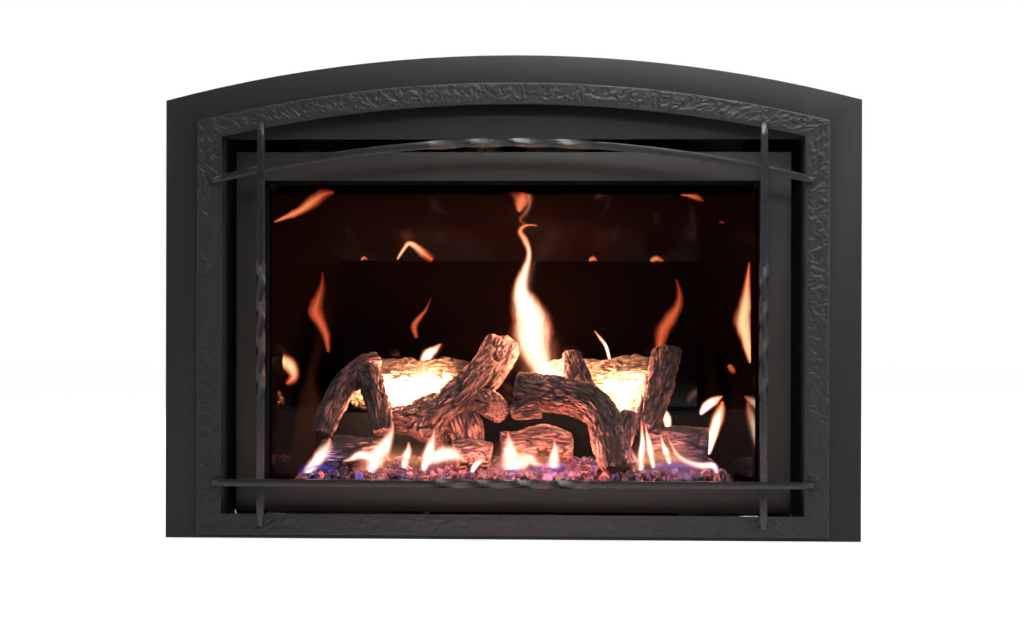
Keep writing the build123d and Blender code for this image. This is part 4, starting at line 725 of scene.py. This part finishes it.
logs = {  # each limb is a row of places with a radius, in millimetres
    "rearLeftLog": ("rear_left_log", "rearBark", [
        [(-286, 226, 236, 44), (-220, 222, 238, 47), (-140, 220, 240, 46), (-58, 222, 236, 41)],
    ]),
    "rearRightLog": ("rear_right_log", "rearBark", [
        [(38, 232, 236, 42), (110, 230, 240, 46), (180, 230, 243, 47), (240, 230, 246, 44)],
    ]),
    "smallLogs": ("small_logs", "frontBark", [
        [(-318, 78, 127, 24), (-274, 72, 132, 28), (-216, 70, 132, 25)],
        [(-96, 74, 124, 28), (-66, 78, 130, 29), (-38, 78, 126, 24)],
        [(-20, 120, 133, 33), (40, 116, 140, 37), (96, 120, 137, 31)],
        [(214, 104, 138, 34), (268, 100, 144, 37), (322, 100, 142, 33)],
    ]),
    "centreLog": ("centre_log", "frontBark", [
        [
            (-150, 112, 150, 34), (-130, 124, 186, 36), (-88, 142, 222, 37), (-50, 168, 264, 34), (-26, 190, 296, 31),
            (-17, 202, 312, 24),
        ],
        [(-218, 116, 184, 19), (-181, 122, 186, 27), (-132, 130, 198, 31), (-92, 142, 216, 30)],
        [(-74, 112, 142, 26), (-86, 122, 176, 29), (-98, 140, 210, 28)],
        [(-28, 74, 204, 20), (-38, 110, 208, 22), (-74, 150, 226, 26)],
        [(-44, 180, 284, 23), (-40, 190, 308, 19), (-35, 196, 324, 13)],
    ]),
    "leftForkLog": ("left_fork_log", "frontBark", [
        [(-322, 92, 164, 20), (-306, 112, 210, 22), (-284, 140, 252, 24), (-258, 158, 274, 22), (-236, 170, 280, 17)],
        [(-220, 76, 164, 18), (-228, 100, 206, 20), (-246, 134, 248, 22), (-262, 154, 270, 20)],
    ]),
    "rightForkLog": ("right_fork_log", "frontBark", [
        [
            (172, 52, 108, 30), (160, 68, 150, 32), (142, 90, 196, 31), (110, 100, 219, 31), (56, 104, 231, 29),
            (2, 108, 240, 25),
        ],
        [(118, 112, 226, 25), (104, 140, 262, 21), (94, 168, 296, 15)],
        [(40, 92, 214, 20), (14, 88, 206, 18), (-4, 84, 200, 13)],
        [(172, 74, 138, 20), (186, 84, 172, 18), (192, 90, 202, 15)],
    ]),
    "leaningLog": ("leaning_log", "frontBark", [
        [(216, 96, 168, 24), (232, 124, 208, 26), (246, 156, 250, 27), (262, 196, 300, 24)],
    ]),
}
bark = {  # lengths in metres, widths as shares of the noise
    "sides": 96,
    "step": 0.0026,
    "endEdge": 0.006,  # how far from a sawn end its edge starts to round
    "endShare": 0.88,  # radius left at the sawn end
    "endRings": ((0.8, 0.0012), (0.5, 0.0004), (0.2, -0.0004)),  # share of the radius and how far it stands out
    "endHollow": 0.0006,
    "endKnocks": 0.0008,
    "lumps": 0.19,
    "lumpRun": 22,
    "fissureDepth": 0.0052,
    "fissureWidth": 0.10,
    "fissureRun": 0.036,
    "fissureTurn": 0.012,
    "fissureSwirl": 0.8,
    "fullRadius": 0.03,  # thinner limbs have shallower fissures
    "splitDepth": 0.45,  # finer splits, as a share of a fissure
    "grainDepth": 0.0024,
    "smoothAngle": 55,  # edges that turn more are shaded sharp
    "seed": 5,  # for the swirl, which would change from run to run without one
}


def smoothPath(stations, step):
    places = [Vector(s[:3]) * 0.001 for s in stations]
    radii = [s[3] * 0.001 for s in stations]
    path = []
    for i in range(len(places) - 1):
        before, after = places[max(i - 1, 0)], places[min(i + 2, len(places) - 1)]
        a, b = places[i], places[i + 1]
        pieces = max(2, int((b - a).length / step))
        for j in range(pieces + (i == len(places) - 2)):
            t = j / pieces
            h = [2 * t**3 - 3 * t**2 + 1, t**3 - 2 * t**2 + t, -2 * t**3 + 3 * t**2, t**3 - t**2]
            place = a * h[0] + (b - before) * 0.5 * h[1] + b * h[2] + (after - a) * 0.5 * h[3]
            path.append((place, radii[i] + (radii[i + 1] - radii[i]) * t))
    return path


def headingAt(path, i):
    return (path[min(i + 1, len(path) - 1)][0] - path[max(i - 1, 0)][0]).normalized()


def barkRelief(way, b):  # depth of the cracks at a place on the bark, 0 to 1, and its grain
    way += noise.noise_vector(way * 0.6) * b["fissureSwirl"]
    fissure = math.exp(-((noise.noise(way) / b["fissureWidth"]) ** 2))
    split = math.exp(-((noise.noise(way * 2.1 + Vector((4, 7, 1))) / b["fissureWidth"]) ** 2)) * b["splitDepth"]
    grain = noise.noise(Vector((way.x * 5, way.y * 5, way.z * 2.4)))
    return min(1.0, max(fissure, split)), grain


def buildLimb(stations, seed, b):
    path = smoothPath(stations, b["step"])
    sides = b["sides"]
    last = len(path) - 1
    angles = [2 * math.pi * j / sides for j in range(sides)]
    verts, space, cracks, sawn = [], [], [], []

    def addVert(place, spot, crack, cut):
        verts.append(place)
        space.append(spot)
        cracks.append(crack)
        sawn.append(cut)

    run = 0.0
    sideways = Vector((0, 1, 0.3))
    for i, (place, radius) in enumerate(path):
        heading = headingAt(path, i)
        if i:
            run += (place - path[i - 1][0]).length
        upright = heading.cross(sideways).normalized()
        sideways = upright.cross(heading)
        fromEnd = min(i, last - i) * b["step"]
        curve = math.sqrt(max(0.0, 1 - max(0.0, 1 - fromEnd / b["endEdge"]) ** 2))
        rounding = curve * (1 - b["endShare"]) + b["endShare"]
        swell = b["lumps"] * (1 + max(0.0, 1 - fromEnd / radius))  # the ends are lumpier
        for a in angles:
            c, s = math.cos(a), math.sin(a)
            lump = noise.noise(Vector((c * 1.2, s * 1.2, run * b["lumpRun"] + seed * 7.3)))
            outline = 0.97 + 0.07 * math.cos(3 * a + seed) + 0.04 * math.sin(4 * a - 2 * seed)
            turn = radius / b["fissureTurn"]
            crack, grain = barkRelief(Vector((c * turn, s * turn, run / b["fissureRun"] + seed * 3.1)), b)
            cut = crack * b["fissureDepth"] * min(1.0, radius / b["fullRadius"])
            out = radius * rounding * (outline + lump * swell) - cut + grain * b["grainDepth"]
            spot = (c * radius, s * radius, run + seed)
            burnt = min(1.0, crack * 0.9 + max(0.0, -grain) * 0.6)
            addVert(place + (sideways * c + upright * s) * out, spot, burnt, float(i in (0, last)))
    faces = gridFaces(len(path), sides, closedColumns=True)
    for ring, sign in ((0, -1), (last, 1)):  # sawn ends, a little hollow
        place, radius = path[ring]
        heading = headingAt(path, ring) * sign
        start = previous = ring * sides
        for share, depth in b["endRings"]:
            first = len(verts)
            for j, a in enumerate(angles):
                rim = verts[start + j]
                knock = noise.noise(rim * 160 * share) * b["endKnocks"]
                spot = (math.cos(a) * radius * share, math.sin(a) * radius * share, seed)
                addVert(place + (rim - place) * share + heading * (depth + knock), spot, 0.0, 1.0)
            for j in range(sides):
                k = (j + 1) % sides
                quad = (previous + j, first + j, first + k, previous + k)
                faces.append(quad if sign < 0 else quad[::-1])
            previous = first
        addVert(place - heading * b["endHollow"], (0, 0, seed), 0.0, 1.0)
        for j in range(sides):
            tri = (previous + j, len(verts) - 1, previous + (j + 1) % sides)
            faces.append(tri if sign < 0 else tri[::-1])
    return verts, faces, space, cracks, sawn


def buildLog(name, limbs, b):
    verts, faces, space, cracks, sawn = [], [], [], [], []
    for seed, stations in enumerate(limbs):
        made = buildLimb(stations, seed + len(name) * 0.37, b)
        start = len(verts)
        faces += [tuple(start + i for i in face) for face in made[1]]
        for rows, new in zip((verts, space, cracks, sawn), (made[0], *made[2:])):
            rows.extend(new)
    mesh = makeMesh(name, verts, faces, {"barkSpace": space, "crack": cracks, "sawn": sawn})
    mesh.set_sharp_from_angle(angle=math.radians(b["smoothAngle"]))
    return linkObject(name, mesh)


noise.seed_set(bark["seed"])
for name, (node, finish, limbs) in logs.items():
    finishPiece(buildLog(name, limbs, bark), "insert", finish, "log_ceramic", node)
print("logs:", len(logs))


# Ember bed: chips scattered on a mound

embers = {
    "halfFront": 0.355,
    "halfBack": 0.325,
    "front": 0.034,
    "back": 0.204,
    "base": 0.092,
    "profile": (  # Y and height of the mound, from front to back
        (0.033, 0.037, 0.064, 0.116, 0.175, 0.205), (0.0925, 0.0975, 0.103, 0.117, 0.117, 0.104),
    ),
    "columns": 70,
    "rows": 18,
    "sink": 0.006,  # the mound lies under its chips
    "hummocks": 0.003,
    "Spacing": 0.0140,
    "Chip Size": 0.0125,
    "Seed": 11,
    "stone": (0.045, 0.016, 0.02, 1.0),
    "slate": (0.010, 0.008, 0.028, 1.0),
    "soot": (0.006, 0.004, 0.007, 1.0),
    "warm": (1.0, 0.28, 0.15, 1.0),
    "deep": (0.8, 0.10, 0.10, 1.0),
    # painted glints: some chips glow violet for the blue flames' light on them
    "violet": (0.16, 0.10, 0.45, 1.0),
    "strength": 3.0,
}


def emberFinish(e):
    material, tree, shader = startMaterial("emberChips")
    tone, glow = readAttribute(tree, "tone"), readAttribute(tree, "glow")
    rim = addNode(tree, "LayerWeight", {"Blend": 0.35}).outputs["Facing"]
    patch = remap(tree, noiseField(tree, objectPlace(tree), 160.0, 2.0), 0.4, 0.6)
    stone = blendColour(tree, tone, e["stone"], e["slate"])
    warm = blendColour(tree, patch, e["warm"], e["deep"])
    # the embers' own glow, and on some chips a violet painted glint of the blue flames' light
    glowAndGlint = blendColour(tree, remap(tree, tone, 0.55, 0.9), warm, e["violet"])
    # the glowing chips are brightest at their rims: painted highlights on the embers' own glow
    edge = calculate(tree, "MULTIPLY", calculate(tree, "POWER", rim, 2.0), remap(tree, glow, 0.5, 0.95))
    body = calculate(tree, "ADD", edge, remap(tree, glow, 0.88, 1.0, 0.0, 0.6))
    setInputs(tree, shader, {
        "Base Color": blendColour(tree, calculate(tree, "MULTIPLY", patch, 0.7), stone, e["soot"]),
        "Roughness": remap(tree, patch, 0.0, 1.0, 0.15, 0.5),
        "Emission Color": blendColour(tree, calculate(tree, "MINIMUM", body, 1.0), (0.0, 0.0, 0.0, 1.0), glowAndGlint),
        "Emission Strength": e["strength"],
    })
    return material


def emberTree():
    tree, given, result = startNodes("emberScatter", {
        "Spacing": 0.008, "Chip Size": 0.007, "Seed": 11, "Material": finishes["emberChips"],
    })

    def between(low, high, seed):
        values = {"Min": low, "Max": high, "Seed": seed}
        return addNode(tree, "FunctionNodeRandomValue", values, data_type="FLOAT_VECTOR").outputs[0]

    points = addNode(
        tree, "GeometryNodeDistributePointsOnFaces",
        {"Mesh": given["Geometry"], "Distance Min": given["Spacing"], "Density Max": 60000.0, "Seed": given["Seed"]},
        distribute_method="POISSON",
    )
    chip = addNode(tree, "GeometryNodeMeshIcoSphere", {"Radius": given["Chip Size"], "Subdivisions": 2})
    wobble = addNode(tree, "TexNoise", {"Scale": 150.0, "Detail": 1.0}).outputs["Color"]
    centred = calculateVector(tree, "SUBTRACT", wobble, (0.5, 0.5, 0.5))
    dents = addNode(tree, "VectorMath", {0: centred, "Scale": 0.02}, operation="SCALE").outputs[0]
    rough = addNode(tree, "GeometryNodeSetPosition", {"Geometry": chip.outputs[0], "Offset": dents})
    chips = addNode(tree, "GeometryNodeInstanceOnPoints", {
        "Points": points.outputs[0],
        "Instance": rough.outputs[0],
        "Rotation": between((0.0, 0.0, 0.0), (6.28, 6.28, 6.28), given["Seed"]),
        "Scale": between((0.7, 0.5, 0.4), (1.15, 0.85, 0.6), 3),
    })
    for label, seed in (("tone", 5), ("glow", 9)):
        share = addNode(tree, "FunctionNodeRandomValue", {"Seed": seed}).outputs[1]
        chips = addNode(
            tree, "GeometryNodeStoreNamedAttribute", {"Geometry": chips.outputs[0], "Name": label, "Value": share},
            data_type="FLOAT", domain="INSTANCE",
        )
    joined = addNode(tree, "GeometryNodeJoinGeometry", {0: chips.outputs[0]})
    setInputs(tree, joined, {0: given["Geometry"]})
    closeNodes(tree, joined.outputs[0], given["Material"], result)
    return tree


def buildEmbers(e):
    verts = []
    columns, rows = e["columns"], e["rows"]
    for j in range(rows + 1):
        y = e["front"] + (e["back"] - e["front"]) * j / rows
        half = e["halfFront"] + (e["halfBack"] - e["halfFront"]) * j / rows
        top = float(np.interp(y, *e["profile"])) - e["sink"]
        for i in range(columns + 1):
            x = -half + 2 * half * i / columns
            z = top + noise.noise(Vector((x * 40, y * 40, 2))) * e["hummocks"]
            verts.append((x, y, e["base"] if j in (0, rows) or i in (0, columns) else z))
    return linkObject("emberBed", makeMesh("emberBed", verts, gridFaces(rows + 1, columns + 1)))


finishes["emberChips"] = emberFinish(embers)
emberBed = bakeNodes(buildEmbers(embers), emberTree(), {**embers, "Material": finishes["emberChips"]})
finishPiece(emberBed, "insert", "emberChips", "ember_stone", "ember_bed")
print("embers:", len(emberBed.data.polygons), "faces")


# Flames, and painted reflections of them on the black glass: crossed ribbons that thin out to their edges

standing = {  # depth of the foot, then X, Z and the half width along the flame, in millimetres
    "flame": {
        "tallFlame": (165, [
            (97, 212, 5), (79, 225, 15), (57, 251, 19), (43, 277, 17), (33, 302, 22), (28, 328, 27), (26, 354, 24),
            (16, 379, 19), (9, 405, 12), (14, 431, 8.6), (21, 455, 5), (22, 473, 4.3), (15, 491, 5), (7, 504, 4.3),
            (14, 514, 3.4), (27, 516, 2), (36, 514, 0.9),
        ]),
        "logFaceFlame": (160, [
            (-166, 188, 26), (-165, 208, 33), (-162, 228, 30), (-160, 247, 22), (-158, 264, 13), (-156, 284, 3),
        ]),
        "behindRight": (300, [(165, 270, 1.8), (156, 305, 2.8), (145, 321, 2.5), (135, 334, 0.9)]),
        "logFaceLeft": (158, [(-195, 196, 14), (-198, 214, 17), (-200, 233, 13), (-196, 252, 7), (-189, 266, 2)]),
        "behindLeft": (286, [(-167, 270, 9), (-160, 290, 9), (-149, 299, 6), (-137, 310, 1.8)]),
        "rightLogFlame": (150, [
            (185, 192, 15), (183, 208, 17), (178, 225, 13), (173, 243, 7), (170, 260, 3.4), (167, 279, 1.2),
        ]),
        "smallRight": (140, [(259, 172, 5), (257, 187, 6.7), (252, 201, 4.2), (250, 211, 0.8)]),
        "farRightSwept": (120, [(312, 196, 2.5), (322, 210, 6.7), (334, 218, 6.7), (342, 223, 4.2), (349, 227, 0.8)]),
        "farRightTall": (110, [(325, 130, 3), (333, 165, 7.5), (340, 190, 8.4), (346, 207, 6.7), (348, 219, 1.7)]),
    },
    "lowFlame": {
        "frontLeftBlue": (50, [
            (-350, 92, 2.5), (-340, 104, 6), (-329, 115, 8.4), (-319, 127, 10), (-310, 139, 10), (-305, 149, 6.7),
            (-303, 158, 1.7),
        ]),
        "frontLeft": (42, [
            (-236, 103, 8), (-228, 121, 15), (-216, 138, 13), (-206, 155, 8), (-199, 171, 4), (-198, 186, 0.8),
        ]),
        "frontLeftTongue": (40, [(-221, 122, 8), (-238, 129, 7.5), (-253, 131, 6), (-268, 124, 4), (-280, 121, 1.7)]),
        "frontSmallA": (42, [(-180, 110, 5), (-175, 130, 7.5), (-172, 141, 5), (-172, 153, 1.2)]),
        "frontMiddleLeft": (42, [
            (-148, 106, 5), (-141, 128, 10), (-135, 147, 7.5), (-131, 162, 4.2), (-129, 173, 0.8),
        ]),
        "frontGlow": (44, [(-142, 122, 7), (-125, 129, 12), (-108, 133, 13), (-92, 130, 10), (-75, 120, 3.3)]),
        "frontArc": (40, [(-68, 104, 3.3), (-61, 116, 5), (-53, 122, 4), (-45, 127, 1.7)]),
        "frontMiddle": (46, [(-2, 108, 17), (-4, 129, 15), (-5, 145, 10), (-7, 159, 5), (-8, 169, 1.2)]),
        "frontMiddleTail": (48, [(-2, 118, 13), (13, 122, 15), (28, 124, 10), (41, 117, 5), (53, 116, 2.5)]),
        "frontMiddleRight": (48, [(66, 110, 12), (68, 129, 8), (69, 143, 5), (68, 156, 1.2)]),
        "rightTipA": (44, [(210, 108, 5), (211, 132, 5.8), (213, 154, 4.1), (212, 173, 2.5), (211, 190, 0.8)]),
        "rightTipB": (42, [(231, 112, 3.3), (226, 137, 5.8), (223, 155, 4.1), (219, 172, 2.5), (218, 185, 0.8)]),
        "rightTipC": (44, [(258, 118, 4), (251, 139, 5.8), (246, 152, 3.3), (243, 167, 1)]),
        "rightTipD": (44, [
            (335, 104, 3.3), (328, 116, 5.8), (309, 116, 5), (289, 121, 4), (271, 132, 4), (261, 149, 2.5),
            (254, 163, 0.8),
        ]),
    },
    "blueFlame": {
        "blueLeft": (44, [(-356, 95, 4), (-344, 104, 10), (-326, 112, 11), (-304, 108, 8), (-284, 102, 3)]),
        "blueMiddle": (46, [(16, 106, 3), (50, 111, 7), (90, 109, 6), (112, 104, 2)]),
        "blueRight": (44, [(222, 104, 4), (250, 116, 11), (286, 116, 13), (322, 112, 11), (348, 101, 4)]),
    },
    "haloFlame": {
        "haloLeft": (156, [(-176, 160, 22), (-172, 195, 58), (-168, 225, 64), (-164, 255, 48), (-160, 285, 16)]),
        "haloCentre": (162, [
            (84, 196, 14), (70, 226, 34), (48, 262, 36), (32, 310, 36), (24, 350, 30), (12, 392, 16),
        ]),
        "haloRight": (148, [(186, 176, 14), (183, 200, 34), (179, 222, 28), (174, 250, 10)]),
        "haloFrontLeft": (39, [
            (-262, 104, 10), (-226, 124, 30), (-196, 128, 20), (-160, 122, 20), (-120, 128, 26), (-84, 114, 10),
        ]),
        "haloFront": (44, [(-34, 106, 12), (-4, 126, 30), (30, 122, 22), (66, 122, 20), (100, 108, 10)]),
        "haloFrontRight": (41, [(196, 108, 10), (222, 128, 30), (262, 130, 28), (304, 114, 14), (336, 104, 8)]),
    },
}
paintedReflections = {  # painted reflections of the flames on the black glass of the walls and the ceiling: X, Y, Z and the half width, in millimetres
    "wispFlame": {
        "sideLeftWisp": [
            (-329, 226, 296, 3), (-332, 212, 328, 6.6), (-339, 184, 351, 9.5), (-344, 165, 368, 12),
            (-340, 181, 392, 8), (-336, 195, 415, 4.5), (-336, 198, 436, 1.4),
        ],
        "backThinWisp": [
            (-182, 312, 320, 4), (-187, 312, 340, 5.7), (-179, 312, 354, 4.3), (-166, 312, 370, 2.5),
            (-156, 312, 392, 1),
        ],
        "backRightWisp": [
            (248, 312, 292, 6), (255, 312, 332, 11), (268, 312, 353, 11), (282, 312, 376, 8.2), (286, 312, 400, 5.7),
            (280, 312, 426, 1.8),
        ],
        "roofRight": [(274, 36, 560, 1), (290, 36, 558, 3), (302, 38, 555, 5), (312, 47, 550, 2)],
        "roofRightTail": [(314, 287, 545, 2), (328, 229, 536, 5.5), (340, 178, 526, 4), (352, 128, 517, 1.3)],
        "rightSpot": [(358, 105, 280, 4), (362, 86, 273, 5), (366, 71, 267, 3)],
    },
    "dimFlame": {
        "roofLeft": [
            (-391, 14, 514, 1.5), (-370, 16, 523, 4), (-347, 18, 534, 6.5), (-327, 20, 549, 9.5), (-310, 22, 560, 8),
            (-294, 23, 563, 3),
        ],
        "roofCentre": [(10, 30, 531, 3), (11, 30, 541, 8), (14, 30, 549, 12), (16, 30, 557, 16), (17, 30, 563, 15)],
        "roofSpotA": [(125, 307, 458, 2.7), (132, 295, 462, 4.4), (140, 307, 458, 2)],
        "roofSpotB": [(234, 308, 458, 2.7), (244, 295, 462, 5.3), (257, 308, 458, 2.7)],
        "roofSpotC": [(-281, 304, 459, 1.8), (-274, 295, 463, 2.5), (-269, 304, 459, 1.4)],
    },
    "roofFlame": {
        "roofLog": [
            (-216, 300, 460, 2), (-198, 248, 479, 3), (-188, 229, 486, 4), (-177, 246, 480, 5.6),
            (-167, 273, 470, 7.5), (-153, 304, 459, 5.7),
        ],
        "sideRightFlame": [
            (389, 36, 285, 3), (382, 36, 321, 8), (376, 36, 352, 12), (380, 36, 382, 9), (383, 36, 414, 5),
            (386, 36, 450, 1.3),
        ],
        "sideLeftArc": [
            (-398, 60, 280, 8), (-386, 60, 285, 10), (-371, 60, 277, 10), (-365, 60, 260, 8), (-377, 60, 247, 4),
        ],
    },
}
ribbon = {
    "across": 12,
    "step": 0.004,
    "bow": 0.35,  # how far the middle comes forward, per half width
    "spread": 1.6,  # the soft edge reaches past the half width
    "turns": (0, 60, -60),  # three ribbons through one centre line
    "sideShare": 0.6,
    "softness": 1.2,
}


def buildFlame(name, stations, r):
    path = smoothPath(stations, r["step"])
    verts, faces, warmths, rises = [], [], [], []
    columns = r["across"]
    for turn in r["turns"]:
        c, s = math.cos(math.radians(turn)), math.sin(math.radians(turn))
        share = 1.0 if turn == 0 else r["sideShare"]
        faces += gridFaces(len(path), columns + 1, start=len(verts))
        for i, (place, half) in enumerate(path):
            heading = headingAt(path, i)
            across = Vector((heading.z, 0, -heading.x)).normalized() * c + Vector((0, 1, 0)) * s
            for j in range(columns + 1):
                t = 2 * j / columns - 1
                bow = Vector((0, 1, 0)) * (r["bow"] * half * (t * t - 0.5)) * (turn == 0)
                verts.append(place + across * half * t * share * r["spread"] + bow)
                warmths.append((1 - t * t) ** r["softness"])
                rises.append(i / (len(path) - 1))
    return linkObject(name, makeMesh(name, verts, faces, {"warmth": warmths, "rise": rises}))


routes = [
    (kind, name, [(x, depth, z, half) for x, z, half in stations])
    for kind, rows in standing.items() for name, (depth, stations) in rows.items()
]
routes += [(kind, name, stations) for kind, rows in paintedReflections.items() for name, stations in rows.items()]
for kind, name, stations in routes:
    piece = finishPiece(buildFlame(name, stations, ribbon), "insert", kind, "ember_stone")
    piece.visible_diffuse = piece.visible_shadow = False
    piece.visible_glossy = kind in ("flame", "lowFlame")

fireLamps = [  # place, watts, colour, size
    ((-0.160, 0.146, 0.224), 30.0, (1.0, 0.56, 0.34), 0.022),
    ((-0.208, 0.150, 0.218), 20.0, (1.0, 0.56, 0.34), 0.016),
    ((-0.150, 0.152, 0.272), 2.0, (1.0, 0.50, 0.30), 0.016),
    ((0.052, 0.160, 0.262), 12.0, (1.0, 0.55, 0.33), 0.020),
    ((0.020, 0.146, 0.345), 7.5, (1.0, 0.45, 0.28), 0.020),
    ((0.182, 0.146, 0.226), 12.0, (1.0, 0.56, 0.34), 0.016),
    ((0.335, 0.100, 0.190), 0.9, (1.0, 0.50, 0.28), 0.010),
    ((-0.222, 0.034, 0.132), 1.1, (1.0, 0.47, 0.34), 0.012),
    ((-0.125, 0.032, 0.132), 2.0, (1.0, 0.47, 0.34), 0.012),
    ((-0.060, 0.028, 0.138), 1.5, (1.0, 0.38, 0.29), 0.020),
    ((0.005, 0.032, 0.132), 2.2, (1.0, 0.47, 0.34), 0.012),
    ((0.100, 0.030, 0.136), 3.6, (1.0, 0.40, 0.31), 0.020),
    ((0.235, 0.032, 0.138), 1.2, (1.0, 0.46, 0.38), 0.012),
    ((-0.310, 0.034, 0.125), 0.3, (0.45, 0.38, 1.0), 0.012),
    ((0.290, 0.034, 0.116), 0.3, (0.45, 0.38, 1.0), 0.012),
]
for number, (place, watts, colour, size) in enumerate(fireLamps):
    data = bpy.data.lights.new(f"fireLamp{number}", "POINT")
    data.energy, data.color, data.shadow_soft_size = watts, colour, size
    made = linkObject(f"fireLamp{number}", data)
    made.location = place
    made.visible_camera = made.visible_glossy = False
print("flames:", len(routes))
